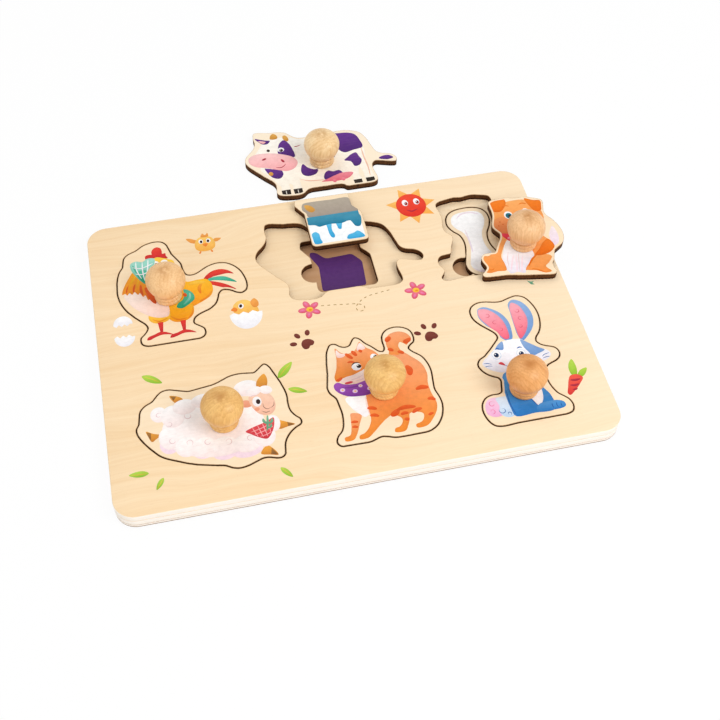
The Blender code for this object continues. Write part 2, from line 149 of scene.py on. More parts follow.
def crossings(points, loop):
    """True for each point inside a closed outline."""
    result = np.zeros(len(points), bool)
    low, high = loop.min(0), loop.max(0)
    near = np.nonzero(((points >= low) & (points <= high)).all(1))[0]
    a, b = loop, np.roll(loop, -1, 0)
    for part in np.array_split(near, max(1, len(near) * len(loop) // CHUNK)):
        x, y = points[part, 0][:, None], points[part, 1][:, None]
        spans = (a[:, 1] > y) != (b[:, 1] > y)
        rise = np.where(a[:, 1] == b[:, 1], 1.0, b[:, 1] - a[:, 1])
        hit = spans & (x < a[:, 0] + (y - a[:, 1]) * (b[:, 0] - a[:, 0]) / rise)
        result[part] = hit.sum(1) % 2 == 1
    return result


def outlines(node, height):
    """Closed outlines of a CAD node's flat face at height, longest first, material on the left."""
    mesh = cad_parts[node].data
    co = np.array([v.co for v in mesh.vertices])
    mesh.calc_loop_triangles()
    tris = np.array([t.vertices[:] for t in mesh.loop_triangles])
    flat = (np.abs(co[tris][:, :, 2] - height) < FLAT_WITHIN).all(1)
    keys = np.round(co[:, :2] / CORNER_GRID).astype(int)
    ahead = {}
    for tri in tris[flat]:
        corners = [tuple(keys[v]) for v in tri]
        (ax, ay), (bx, by), (cx, cy) = corners
        if (bx - ax) * (cy - ay) < (by - ay) * (cx - ax):
            corners.reverse()
        for a, b in zip(corners, corners[1:] + corners[:1]):
            if ahead.get(b) == {a}:
                del ahead[b]
            elif a in ahead.get(b, ()):
                ahead[b].discard(a)
            else:
                ahead.setdefault(a, set()).add(b)
    loops = []
    while ahead:
        start = here = next(iter(ahead))
        loop = []
        while here in ahead:
            loop.append(here)
            nexts = ahead[here]
            there = nexts.pop()
            if not nexts:
                del ahead[here]
            here = there
            if here == start:
                break
        loops.append(np.array(loop) * CORNER_GRID / MM)
    return sorted(loops, key=lambda l: -np.ptp(l, 0).sum())


def linear(code):
    """A web colour as linear red, green and blue."""
    srgb = np.array([int(code[k:k + 2], 16) for k in (0, 2, 4)]) / 255
    return np.where(srgb <= 0.04045, srgb / 12.92, ((srgb + 0.055) / 1.055) ** 2.4)


# Inks: each one's name, its web colours at the top and at the bottom of a shape, and how much darker
# the shape's border is
INK_LIST = """
red ea4433 c8242c .12    teal 5cc4a8 22a37f .15   mint a5dfcf 58bba4 .1     amber fcc22c f5981c .08
gold fdd04c f6b431 .08   flame f8a92e ec7d22 .12  rust e2642a d4541e 0      blush feeee2 fbdcd0 .08
leg e23c34 c42a32 .1     white ffffff f4f1f4 .03  cream fffcf4 fef4e4 .04   dark 3c2722 2a1916 0
fleece fffdfc fcebe9 .045 curl ecd6d6 e2c4c8 0    peach fad2b8 f4bda2 .06   hoof f6ac44 c67c2e .08
kerchief e9545c cc3440 .1 thread f8bcbc f4a4a8 0  ginger f6a474 f08a2c .08  stripe e8672f da5320 0
plum a957bd 7c399d .12   haze fbe8ee f5d9e6 0     cheek f2ab8c e89878 .04   tip a8763a 7c5430 0
fern 7db391 5f9a78 0     inner fef2ec fad0c6 .04  navy 24395c 182844 0      lilac ecd0f0 e2c0ea 0
blue 559cdb 2c7ac4 .1    sky 93b3de 6e97cf .08    deep 2c62a8 2c62a8 0      pink fbb0bc f2667e .1
snow ffffff e9e4f0 .06   candy f5cbe3 efaed6 .05  ice dfebf8 bad6f1 .05     violet 683690 4c2672 .1
muzzle fdd0ce f8aaae .08 horn e5ac54 c98b3a .05   black 332924 1f1815 0     udder f492a0 e56a7e .06
wine b23244 a3283a 0     tan f9ac64 f28f40 .08    ear f38428 ea7016 .12     snout f39a5c e27c48 .04
iris 1f7888 0f5262 0     tongue ee4458 d82c46 0   shade f4e6ea ecdcec 0     roof b3a898 a3968a .06
milk ffffff f5f8fb .03   band 4694b0 11799c .06   splash 62c2ea 2ba2d8 .06  trace 5b3274 54306a .06
bone ffffff fcf8f8 .03   leaf b8da52 8dbd34 .08   paw 7e3e34 6c3028 .04     petal f68eb8 ec679f .08
sun f04c34 e03428 .1     ray fac06a f6a748 .04    shell ffffff f0eef5 .05   chick fccf70 f6ae48 .06
wing f3a956 ea9340 .05   beak f0903c e57c2c 0     root ee5c4c d83c38 .08    groove 8e2a26 8e2a26 0
yolk f8c95c eda838 .08   yarn e8707e cf4258 .1    fish 6cb8dc 2f86bc .08    scale bfe2f0 a5d4ea 0
speck cfa87c c0956a 0    mauve a8806e 96705f 0    dash b08f55 9c7b45 0      rosy f07f93 e0566f .1
"""
INKS = {
    name: (linear(top), linear(foot), float(border))
    for name, top, foot, border in zip(*[iter(INK_LIST.split())] * 4)
}

# Brush strokes: how they narrow towards their ends, and half of their least width
TAPER = 0.7
THINNEST = 0.02


def stroke(points, width, tapered=True):
    """The outline of a brush stroke along points, pointed or round at its ends."""
    line = curve(points, closed=False)
    s = np.linspace(0, 1, len(line))
    if tapered:
        half = width / 2 * np.sin(np.pi * s) ** TAPER
    else:
        end = np.minimum(s, 1 - s) * lengths(line)[-1] / (width / 2)
        half = width / 2 * np.sqrt(np.clip(1 - (1 - np.minimum(end, 1)) ** 2, 0, 1))
    side = leftward(unit(np.gradient(line, axis=0))) * np.maximum(half, THINNEST)[:, None]
    return np.concatenate([line + side, (line - side)[::-1]])


def oval(x, y, rx, ry, turn=0.0):
    """An oval of at least ten points, turned by degrees."""
    count = max(10, int(2 * math.pi * max(rx, ry) / DRAW_STEP))
    a = np.linspace(0, 2 * math.pi, count, endpoint=False)
    c, s = math.cos(math.radians(turn)), math.sin(math.radians(turn))
    px, py = rx * np.cos(a), ry * np.sin(a)
    return np.stack([x + px * c - py * s, y + px * s + py * c], 1)


def curl(x, y, radius, start):
    """A thin open curl that winds inward from start, in degrees."""
    points, sweep, shrink, width = 9, 300, 0.45, 0.5
    t = np.linspace(0, 1, points)
    a = np.radians(start + sweep * t)
    r = radius * (1 - shrink * t)
    return stroke(np.stack([x + r * np.cos(a), y + r * np.sin(a)], 1), width)


def eye(ink, x, y, rx, ry, aside, up, size, gleam):
    """An eye's white, and its pupil of size times the white, moved aside and up, with a gleam."""
    shapes = [("white", oval(x, y, rx, ry)), (ink, oval(x + aside, y + up, rx * size, ry * size))]
    if gleam:
        shapes.append(("white", oval(x + aside - 0.2 * rx, y + up + 0.25 * ry, gleam, gleam)))
    return shapes


# What each kind of printed shape makes of its numbers: a blob and a poly are points, a line and a
# bar a width and points, and the others say what they take in their functions
KINDS = {
    "blob": lambda v: curve(np.reshape(v, (-1, 2))),
    "poly": lambda v: np.reshape(v, (-1, 2)),
    "oval": lambda v: oval(*v),
    "curl": lambda v: curl(*v),
    "line": lambda v: stroke(np.reshape(v[1:], (-1, 2)), v[0]),
    "bar": lambda v: stroke(np.reshape(v[1:], (-1, 2)), v[0], False),
}


def drawing(text):
    """Printed shapes, lowest first, from text: ink, kind and numbers, a slash before more of the same."""
    shapes = []
    for ink, kind, numbers in re.findall(r"(\w+) (blob|poly|oval|curl|line|bar|eye)([-./\d\s]+)", text):
        for part in numbers.split("/"):
            v = [float(n) for n in part.split()]
            shapes += eye(ink, *v) if kind == "eye" else [(ink, KINDS[kind](v))]
    return shapes


def moved(shapes, turn=0.0, about=(0, 0), to=(0, 0)):
    """Shapes turned by degrees about a point, which goes to another."""
    c, s = math.cos(math.radians(turn)), math.sin(math.radians(turn))
    return [(ink, (pts - about) @ np.array([[c, s], [-s, c]]) + to) for ink, pts in shapes]


def at(shapes):
    """Shapes of the drawing at their place in the frame."""
    return [(ink, pts + ORIGIN) for ink, pts in shapes]


ROOSTER = drawing("""
red blob 70.8 162.8 73.5 166.6 78 169.4 83 169.8 87.5 168 90.8 164.4 87 165.4 82 165 77 164.2 73.4 162.4
teal blob 74 163 79 164 84.5 163.2 88.8 160.4 91.8 157 87 158.6 82 160.2 77.5 161.2 74 161.4
red blob 73.6 161.2 78 160 83 157.6 87.2 154.6 90.6 151 86 152.6 81 154.8 77 157 73.8 158.6
amber blob 55 166 61 163.4 67 163.8 72.6 163.4 75.4 159.6 76 154 74.2 149.4 70 146.2 65.6 144 61.6 142.4
56 143 48 147 43 153 42 161 46 166
flame line 2.2 70 161 67.5 157 67.8 152
amber blob 46.2 140.4 45.6 136.2 48 132.8 52.5 131.6 57 132.4 60.6 135.4 62 139.4 61.4 144.6 57 149 50 149
46.4 145.5
gold blob 33.8 141 33.4 136.8 36 133.8 40 133 44.6 134 47 137.4 46 142 40 144
blush blob 21 161 19.6 158.6 21.6 154 25 148.4 29.6 143.6 35 139.4 40.4 137.4 45.6 138 46.8 143 46 150
44 158 40 163 34 163 27 162.4
gold blob 36 184 53 184 54.5 176 53 168 50 162 42 160 37.6 164 35 172
flame blob 27 178 23.8 173.4 21.2 168.6 19 163 18.8 160.4 20.6 161.2 21.8 159.6 23.4 161.2 25 159.6
26.6 161.4 28.6 158.8 29.8 160 31.6 156.4 33 157.4 34.6 153.2 36 154 38.9 149 38.9 155 37 161.6 35.2 168
31.8 174.4 29.4 178
rust line 4.2 33.6 164 36 158 37 154.6 38.9 149.4 / 1.8 31 166.6 30.8 162 31.6 157.8
/ 1.4 27.6 168 26.4 164.6 26 161.2 / 1.2 23.8 168 22.2 164.6 21.4 161.4
amber line 1.6 28.4 175 25 169 22.4 163 / 1.2 30.2 172 29 167 28.6 162.4
gold oval 44.6 180.8 7.2 7.4
cream oval 42 182.4 2.5 2.9 8 / 47.8 182.4 2.5 2.9 -8
dark oval 42.5 181.8 1 1.5 / 47.2 181.8 1 1.5
beak blob 42.2 178.6 45 179.4 47.8 178.6 45 173.6
red oval 43.6 172.6 1.5 2.6 6 / 46.6 172.6 1.5 2.6 -6
leg blob 36.4 187.6 36.2 190.4 38.4 191.4 41.4 190.6 42 188.4 39.4 187.4
red blob 37.2 188.4 36.9 190.6 39.2 191 40.4 190.4 40.6 193.6 42.2 196.2 44.4 197 46.6 195.8 47.4 192.8
47.4 190.6 49.4 190.8 49.6 188.6 50.6 186 47 187 44 188.2 40.6 187.6
mint blob 26.2 185.6 30 187.2 33.8 186 37.4 188.2 41.8 187.4 41.2 182 38.6 177.6 36.4 172.4 34.4 166.8
31 170.4 28.2 175.4 26 180.6
teal blob 29.4 177.4 33 178.8 37.2 177.2 36.2 171.6 34.3 167 31.2 170.8
teal line 1.6 27.4 184 29.6 177.6 34.2 168
white line 0.8 29.8 186.8 29.6 180 32.2 171.6 / 0.8 33.8 185.8 33.4 178 34 169.6
/ 0.8 37.8 187.6 36.8 180 35.4 173 / 0.8 27 182.6 32 180.6 40.6 183.6 / 0.8 28.6 176.6 32.6 175.4 37.6 177
teal blob 57.4 157.4 60.4 156.2 63.2 152.4 63.4 148.4 60.6 145.6 57.6 143.4 54.4 142.2 51.6 143.6 52.6 146.6
55.8 149 57.4 152.6
mint line 1.6 61 154 60.4 149.6 56 145
rust oval 57.8 152.8 1.2 1.7 20
flame line 1.2 46.4 138 51 133.8 57 134 / 1.2 61.4 142 60.6 137 57.6 133.4 / 1.4 66 145.4 72 148.6 75.4 153.4
gold line 3 60.6 160.6 66 161.4 72 160.4
flame line 1 35.4 137 39.6 134.6 45 136.4
leg poly 38.3 133.8 41.9 133.8 41 126 39.2 126 / 52.3 132.6 55.9 132.6 55 124.6 53.2 124.6
leg blob 30.6 121.2 31.4 123.2 35.4 124.8 39.4 126.2 43.6 125 47 122.6 43 123.4 39.8 123.6 35.2 122.2
32.6 121
/ 44.8 120.4 45.6 122.4 49.6 123.6 53.8 125 57.8 124 61.2 121.4 57.4 122.2 53.8 122.4 49.4 121 46.6 120.2
""")

SHEEP = drawing("""
hoof blob 39.2 76.8 44.6 75.2 46.8 72.8 43 70.6 40.8 72.6 / 23 54.6 27 52.4 31 50.6 28 48 25.8 46.8 24 50.6
/ 99.4 46.6 104.8 44.6 109 42.2 104.6 41.4 99.2 40.8
/ 86.2 26.2 88.2 29.6 90.6 31 93.6 28.4 95.9 23.6 91 24.6
tip poly 39.4 76.6 43.2 75.8 41.2 73.1 / 23.2 54.2 25.8 53 25.2 48.2 24 50.6
/ 104.6 44.6 108.7 42.2 104.8 41.6 / 92.8 29 95.6 24 91.8 24.8
haze oval 79 30.4 9 5 4 / 66 31.8 7.4 5.4 / 35.4 42.6 5.6 6 12 / 54.4 34.6 6.6 5
fleece oval 31.6 64.8 5 5.4 / 62 49.8 30 20.4 -5 / 39.6 62 7 7.8 / 47 67.4 7 5.4 / 35.4 47 5.6 7.6 10
/ 45.2 39.4 6.8 6.8 / 55.4 37.8 7 6.2 / 66.6 35.8 7.6 6.4 / 79.4 35 8 6.2 / 90 38 6.6 7.4 / 96.4 45.4 4.2 5.8
/ 59 69.4 8 5 / 85 73.2 7.8 5.8
curl curl 31.4 64.4 1.8 20 / 36.8 57 2 200 / 37.6 45 2.2 90 / 46.8 42 2.2 300 / 48.4 60.6 2.4 120
/ 57.4 40.2 2.2 60 / 69 38.4 2.3 240 / 81.8 38 2.2 20 / 76.4 61.6 2.4 150 / 91 41 1.8 280
cheek oval 83 62 3.8 2.6 -14
peach blob 85.4 66.8 90.5 68.6 95.7 68.2 99.4 63.6 99.9 57 97.6 52.8 94.2 51.8 89.6 53.6 86.4 58.4 85.1 62.6
hoof blob 91.4 70.4 91.2 75.6 93.8 79.6 96.9 81.6 98.2 77.6 97.4 73 94.6 69.8
fleece oval 88.8 70 4.8 3.2 20 / 96 69.8 4 3 -20
dark eye 89.6 62.4 2.7 3.6 0.7 -0.2 0.5 0
cheek oval 88.8 57 1.6 1.3
curl line 0.7 86.6 66.6 88.2 67.2 90 66.9
mauve line 0.5 93 60.6 92.8 58.2 94.4 56.2 97 56.4 / 0.5 97 56.4 99 58 99.4 60.4
/ 0.6 91.4 55.2 93.6 53.8 96.2 54.2
kerchief blob 79.8 42.8 84 44.8 88 46 92.4 47.2 97.2 49.4 97.2 45.4 95.2 40 91.4 35.6 86.2 37.8 82.6 40.4
thread line 0.5 82.4 41.8 90 43.6 97 46.8 / 0.5 84.6 39.8 90.6 41.2 96.2 43.4
/ 0.5 87.4 38 91.4 38.4 94.6 39.8 / 0.5 84 44.4 86.4 38.2 / 0.5 87.2 45.6 89.4 37
/ 0.5 90.2 46.4 92 37 / 0.5 93.2 47.2 94.2 39.4
fern line 1.5 92.2 41 93.4 46.6 94 51.6 / 1.7 93.2 45.6 91.4 47.6 91.2 49.8
/ 1.7 93.6 45.6 95.8 46.8 96.4 49 / 1.5 92.6 42.6 94.6 43.4 95.4 45.2
""")

CAT = drawing("""
ginger blob 184 78 180.4 74 174 78 175.1 82.6 174.6 87.5 175.4 92.1 178.2 95.4 183.8 96.6 188.7 94.4
191.1 89.8 190.1 85.7 187.3 85.1 185.2 87.1 183.4 88.2 181.8 85.5 183 80.5
/ 176.7 79.7 180 78.8 183 80.5 188 75.7 192.6 69.6 194.1 61.9 192.8 54.9 193 47.7 194.4 40.2 193.3 35.2
189.7 29.8 184.9 25.4 178.7 25.2 178.6 27.4 182 28.6 183.9 30.4 184.6 34 180.6 36 176.8 35.6 175.6 31.4
174 28 171.4 24.4 165.3 24.8 166 27.2 169 28.1 171.3 31.1 171.2 33.6 166.4 36.6 162.6 35 158.7 32
153.3 27.2 149 24.1 144.1 24.1 144.3 26.4 147.5 27.7 150.2 30 153 35 153.6 40 152.8 45.3 153.4 52.2
156 64 166 76
/ 142.4 42.6 148.4 40.6 146.2 34.6 142.9 27.4 140.4 24.4 135.6 24.4 135.6 26.8 139 27.9 140.8 33.1 141.6 39
white blob 141.6 53.6 153.6 54.4 153.2 47.6 153.2 40.4 150.4 38.6 147.4 41.6 144 46
inner line 1 153.6 53 153.2 46 153.2 40
ginger blob 138.2 69.6 140.6 76 142.2 83.6 142.9 91.4 145.8 87.6 149.4 86 154.6 87.6 158.9 93.6 161.9 88.4
165.8 85.2 168.6 80.4 169 74 165 69 157.6 67.4 149 67.4 141.8 66.6 139 66.6
inner blob 143.3 90 145.4 87.1 148.4 85.9 146.4 84 142.9 84.6
/ 158.7 92.6 155.9 88.2 156.4 86.8 159.4 87.2 161.4 88
/ 140.6 67 144.4 68.8 150 69.8 155 71.6 159.4 73 163.6 69.2 160 65 152 63.4 145 64.2
curl line 0.6 148 66.4 152 67 156 68.8 / 0.6 150 65 154 65.4 158 67.4
stripe line 2.6 148.3 86.4 150.1 84 152.2 81.7 / 2.6 152.5 87.6 153.7 85.5 155 83.3
/ 2.2 157 87.6 158 86.3 158.9 85.6 / 2.2 138.6 67.6 140.6 67.8 142.8 69.2
/ 1.6 148.2 79.4 150.4 79.6 152.6 78.8
black eye 153.1 75.3 3 2.8 1.5 0.1 0.5 0.4 / 165.1 80.4 2.2 2.4 0.9 0.3 0.5 0.3
dark line 0.8 150.2 76.6 152.4 78.3 155.6 77.7
plum blob 136.8 64.6 139.2 66 143 64 150 63 157.6 64.4 161.6 63 161 57.2 156.6 54 149.4 53.8 143 55.2
138.4 58.6 136.6 61.6
plum line 1.2 138.4 62.8 146 61 158 62.4
kerchief oval 146 64.6 2.6 0.9 4
lilac oval 141.2 60 1.6 1.4
gold oval 141.2 60 0.6 0.6
lilac oval 148.4 57.8 1.6 1.4
gold oval 148.4 57.8 0.6 0.6
lilac oval 152.4 61 1.3 1.1
gold oval 152.4 61 0.5 0.5
lilac oval 157.4 58 1.5 1.3
gold oval 157.4 58 0.6 0.6
stripe line 2.6 152.8 44.2 155.6 44 158.4 42.6 / 2.4 153.2 38.8 156 38.8 158.6 37.4
/ 4 165.4 36.2 168.4 37.6 171 39.8 / 3 169.6 39.4 175.4 40.6 181.4 39.6 / 2.6 178.4 35.6 181.4 37.4 184.8 37.8
/ 2.4 171.4 35.8 173.6 36.6 176.2 36.2 / 2.4 172.6 32.2 174 32.2 175.6 31.4
/ 4.2 182.6 70 184.2 66.6 183.4 62.4
/ 3.2 184.4 51.6 188 52.6 192.4 51.6 / 2.6 189.6 43.4 192 43.6 194.2 41.9 / 2 187.4 32.2 189 33 190.8 33.2
/ 3.4 175 90 176.6 92 178.6 93.4 / 2.6 174.6 84.4 176.4 83.8 178 82.4 / 2.6 180.2 81.2 182 80.8 184 79.2
/ 4 185.4 88.4 188.2 88 191 90 / 1.9 141.2 36.4 143.2 36.6 145.6 36 / 1.9 141.2 33 142.8 33.2 144.8 32.4
""")

RABBIT = drawing("""
candy oval 228 29.4 7.4 6.8 20
petal curl 226.4 32 2 60 / 225.2 26.8 1.8 250
ice blob 229.6 35.2 233.6 36 237.4 35 238.6 29 238 22 234.6 20.9 230.8 22.4 229.4 26 230.4 30
deep curl 231.4 26.4 2.3 150 / 234.8 23.4 1.3 300
sky blob 236.9 100 238 103.4 242 104.5 247.4 101.6 251.8 97 254.4 90.4 254.4 83.4 252.6 76.4 249 75.8 244 82
239.6 90 237 96
pink blob 237.3 100 238.4 103 243 102.6 247.6 98.6 250.9 92.4 252 85 251 77.4 248.6 77 245.2 82 240.6 90
237.6 96
sky blob 258.4 104 261.8 106.6 266.4 104.6 269.8 99.2 270.9 91.6 268.8 84 264.4 78.2 258.6 73.8 257 78
257 86 257.6 96
pink blob 258.6 101.4 260.6 104.4 264.4 101.6 266.4 95.6 266.8 90 264.6 83 260.8 77.6 257.9 75.6 257.3 84
257.7 93
snow blob 229 61.2 231.6 64.8 235.6 68 240.4 71.8 245.4 75.4 251.4 76.2 257.6 75.4 261.8 71.4 266.4 67
271.6 63.8 272.9 60.8 270.6 57.8 265.4 55.8 259 53.2 252 51.8 244.4 52 237.4 53.6 231.8 57
sky blob 240.4 71.2 245.8 75.8 245.8 72.2 244.6 69.4
/ 257.6 75 262 71.4 266.6 67.2 270 64.4 266 62.6 261.4 61.6 259.6 65 257.8 69.4
ice oval 239.5 66.4 3 3.4 / 254.9 64.4 3 3.4
navy eye 239.5 66.4 2.6 3 -0.1 -0.1 0.6 0.4 / 254.9 64.4 2.6 3 0.1 -0.1 0.6 0.4
deep line 0.9 239.6 70.6 241.2 71 242.6 70.4 / 0.9 253.4 68.8 255.2 69.4 256.8 68.8
rosy curl 242.6 97.4 1.7 200 / 245.8 91 1.7 20 / 248 85.2 1.5 200
/ 262.4 97.6 1.7 180 / 262.6 91.2 1.7 0 / 261 85.4 1.5 180
kerchief blob 238.8 59.8 240.4 60.8 242.2 59.4 242.6 57.6 240.8 58.4
deep line 0.5 242.4 58 244 56.8 245.8 56.6 / 0.5 229.6 61.6 232.6 61.2 234.6 60
/ 0.5 230 59 232.8 59.2 234.8 58.6 / 0.5 272 61.6 269 61 267 59.8 / 0.5 271.6 58.8 268.8 58.8 266.8 58.2
blue blob 239.8 52 236.8 44 236.2 35 236.6 27 238 20.9 250 20.8 262 20.9 263.6 26 262.9 32 260 38.6 259.4 46
257 52 248 53
white blob 250.8 51.6 247 46 247.6 38 250.6 31.4 254.2 24.4 257.4 28.8 258.9 36 257.9 45 255 51
sky line 2.2 242.6 47 244 41 249.6 39.6
deep line 0.6 247.4 37.6 250.4 31.4 254.2 24.6 257.6 29 / 0.7 238.4 22.4 237.2 30 237.6 40
blue blob 251.8 24 254.8 26.6 260 27.2 266 26.9 269.4 25 269.6 22.2 267 20.9 258 20.8 252.6 20.9
deep line 0.6 261.8 25.4 261.6 23.6 262 21.9 / 0.6 264.6 25.4 264.4 23.6 264.8 21.9
/ 0.6 267.2 24.6 267 23.2 267.2 22.1
""")

# The cow's print, drawn larger than life on a sheet of its own, and how that sheet is laid down
COW_FROM, COW_SCALE, COW_TO = np.array([(109.0, 218.3), (0.934, 0.886), (107.0, 133.1)])
COW = [(ink, (pts - COW_FROM) * COW_SCALE + COW_TO) for ink, pts in drawing("""
cream blob 127.6 236 124.6 245 120 252 126 268 136 280 150 285.4 164 284.4 178 282.2 190 281.4 197.6 279.4
201.2 271 202 259 201 247 202 236 202.4 224.4 196.2 224.4 195.8 233 194 240 192.4 234 192.6 224.2
186.8 224.2 187 232 183 235.4 172 231.6 160 230.8 150 233 147.2 235.4 146.6 229 146.4 224.2 140.4 224.2
140.4 231 138.2 232.6 137.6 224.6 131.4 224.6 131.6 231
peach line 1.2 200.4 266 200 252 200.6 238 200 228 / 1.2 146.6 236.6 152 233.4 158 232 166 231.4
violet blob 123.2 254.2 128.8 251.8 134.4 250.6 135.8 244.4 132.4 240.2 127.8 241.8 124.6 247.4
horn oval 126.6 246.8 1.8 2.2
wine line 0.9 147.4 274.6 151 273.8 155 275
cream blob 117.6 269 121.6 275.6 126.4 282.6 134 286.4 146 285.6 149.6 276 149.6 264 144 254 130 252 118 258
violet blob 121 289.8 124.6 288.2 129.2 286 132.4 284.8 129.6 281.4 126 282 123.4 285.4
muzzle blob 123.6 286.4 126.6 285.6 129 284 127 282.6 125 283.8
horn blob 133 286.4 133.6 290.4 136 292.6 138.6 290.2 138.4 286.2
/ 142.8 284.6 143 288 144.8 288.8 146.8 285.6 146.4 281.6 144.4 281.4
violet blob 136.2 268.4 137 274.6 139.4 280.6 143 283.2 145.8 279.6 147.8 272 148 262.4 144.6 262 140 265.6
white oval 138.9 272.6 2.6 2.6
dark oval 139 271.9 1.5 1.7
white oval 138.4 272.6 0.5 0.5
dark oval 129.2 273.6 1.3 1.6
muzzle blob 112.6 262 113 267.8 117.2 270.8 124 271.2 132 269.8 140 266.6 146.4 262.2 149 256 146 250
139.6 247.4 132.4 250.2 124.6 254.2 117 257
wine oval 124.4 264.4 1.9 1 25 / 138 259.6 1 2.2 25
wine line 0.8 131.8 253.2 136 252.4 139.6 255.6
violet blob 177.4 281.8 186 282 194 280.8 198.6 278 201.2 270.4 201.4 262 194 260 186.4 258.6 182.6 263
180.4 270 179.6 276
/ 184.4 249.6 187.6 252.6 191 255.4 195 256.6 196.4 252 197.6 247.4 194.8 242 191 241.4 189 247.2
/ 149.6 243.2 150.4 248.8 152.4 252.4 155.4 247.8 159.6 244.8 162.6 244 160.2 239.4 154.4 238 151 239.6
/ 165.6 231.6 166 237 169.6 240.8 173.4 239.2 178 239.6 180.2 235.4 174 232.2
violet oval 176.2 257 2.3 2.6 / 166 274 6 4.6 10
udder blob 162.6 229.8 167.6 231.8 173 234.2 180 236.2 188 234.8 184.4 230 177 228 169 228.6
udder oval 172.4 228.6 1.5 1.9 / 179.2 229 1.5 1.9
violet blob 210.8 246.2 214.6 248.2 219.4 247.8 222 244.6 217.6 243.2 213.2 244.2
black poly 131 226.6 137.9 226.6 137.6 221.2 131.2 221.2 / 140 226.2 146.8 226.2 146.6 220.9 140.2 220.9
/ 186.5 226.3 192.9 226.3 192.9 221 186.7 221 / 195.9 226.5 202.6 226.5 202.6 221.2 196.1 221.2
cream line 0.5 134.4 225.8 134.3 223 134.4 221.4 / 0.5 143.4 225.4 143.3 223 143.4 221.1
""")]

DOG = drawing("""
shade blob 300.6 147 301.4 152.4 303.4 156 305.6 159 306.9 154 306.6 147.6 304.4 143 301.6 142
tan blob 274 152 282 160 292 157 299 148.6 300.9 145.7 299.6 141 296 137.4 288 132 276 124.8 270 130 267 140
/ 286.8 137.4 292.3 136.4 296.8 133.2 293.6 128.6 290.4 125.6 292.8 120.9 288.7 120.3 283.6 123.2
277.2 125.4 281.4 131
snow blob 270.4 151 267.6 145.4 264.6 138.2 264.2 128.6 266.6 123.8 270.6 124.6 275.4 122.8 277.2 126.8
281.6 131.6 286 137.4 282 148 276 153
haze line 1.2 272.4 139 269.6 133 267 126.6 / 1.2 273.8 138 272.2 131 270.3 124.4
/ 1.2 278 137 275.4 130 273.4 123.8
curl line 0.5 269.8 142.6 267.4 136 266.4 129 / 0.5 276 140 274 132 272.2 125.6
tan blob 272.6 157.4 268.6 157.6 264.6 151.4 260 145.4 256.4 141.6 251 142.4 249.6 138 251.2 133.4
249.4 129.6 252.6 127.2 258.4 127.6 264 127.4 264.6 133 264 139 266.8 145 270.6 151 273 154.6
ear line 0.7 253.2 130.6 255 129.4 256.8 130.6 / 1.4 279.4 128 283.6 133.4 288.6 137.2
ear blob 286.4 136.4 290.4 140.6 295 146 299 148.4 301 145.6 301.4 141.1 297.2 137 290.6 135.4
ear line 0.9 288 121 284.4 123.8 280.6 125.4
tan blob 270.6 180 273.6 183.6 279.6 186 287 186.8 294.4 186 299.8 182 302.6 175 302.4 167 298.4 160
290 155.8 281.6 155.4 275.4 157 270.4 158.6 266.4 162 265.2 166.4 267.6 171 269 175.6
ear blob 269.4 186.4 273.4 188.6 280.6 189.6 281.4 186.4 279.6 182.4 275.4 178.4 271 179 269.4 182.6
/ 294.8 187.2 300.2 184.6 306.6 182.8 304.8 177.6 301.8 173.8 298.4 174.6 296 180
snout blob 266.8 165.4 268.6 171 273 173.4 278 171.6 279.4 165 277.4 158.8 273.4 157.6 269 160
wine line 1.1 277 167.6 277.6 165 276.4 162
rust oval 272.2 169.2 0.5 0.5 / 273.6 166.8 0.5 0.5 / 270.4 166 0.5 0.5
iris eye 279.6 174.2 2.9 3.4 0.2 -0.5 0.74 0 / 292 174.6 2.9 3.4 0.4 -0.5 0.74 0
dark oval 280.2 173.6 0.8 1.1 / 292.8 174.1 0.8 1.1
ear line 1 277.4 182 280 183 282.4 182 / 1 289.4 182.4 292 183.2 294.6 182
tongue blob 269.2 158.8 273 158.4 276.2 157 276.6 153.6 273.8 151.4 271.6 154
pink oval 274 153.8 1.2 1.3
""")

# The board's own small pictures


def flower(x, y, turn):
    """Five petals with paler strokes in them, round a two-coloured heart."""
    shapes = []
    for k in range(5):
        lean = turn + 72 * k
        a = math.radians(lean)
        for ink, out, long, wide in (("rosy", 4.2, 3.3, 2.1), ("petal", 4.8, 1.6, 0.7)):
            shapes.append((ink, oval(x + out * math.cos(a), y + out * math.sin(a), long, wide, lean)))
    return shapes + [("gold", oval(x, y, 2.2, 2.0)), ("flame", oval(x + 0.3, y - 0.3, 1.0, 0.8))]


def paw(x, y, turn):
    """A paw print of a pad and three toes that point to the back before it is turned."""
    pad = [(-4.2, -2.2), (-3.3, 1.5), (0, 3.4), (3.3, 1.5), (4.2, -2.2), (1.9, -3.6), (0, -2.9), (-1.9, -3.6)]
    shapes = [("paw", curve(pad))]
    for lean in (48, 0, -48):
        a = math.radians(lean + 90)
        shapes.append(("paw", oval(8.3 * math.cos(a), 8.3 * math.sin(a), 1.6, 2.3, lean)))
    return moved(shapes, turn, to=(x, y))


def leaf(x, y, length, turn):
    """A leaf from its stalk at x, y, pointing along turn."""
    side = [(0.2, 0.144), (0.5, 0.18), (0.82, 0.108)]
    body = [(0, 0)] + side + [(1, 0)] + [(along, -out) for along, out in reversed(side)]
    rib = [(0.1, 0), (0.5, 0.02), (0.9, 0)]
    shapes = [("leaf", curve(np.array(body) * length)), ("yolk", stroke(np.array(rib) * length, 0.35))]
    return moved(shapes, turn, to=(x, y))


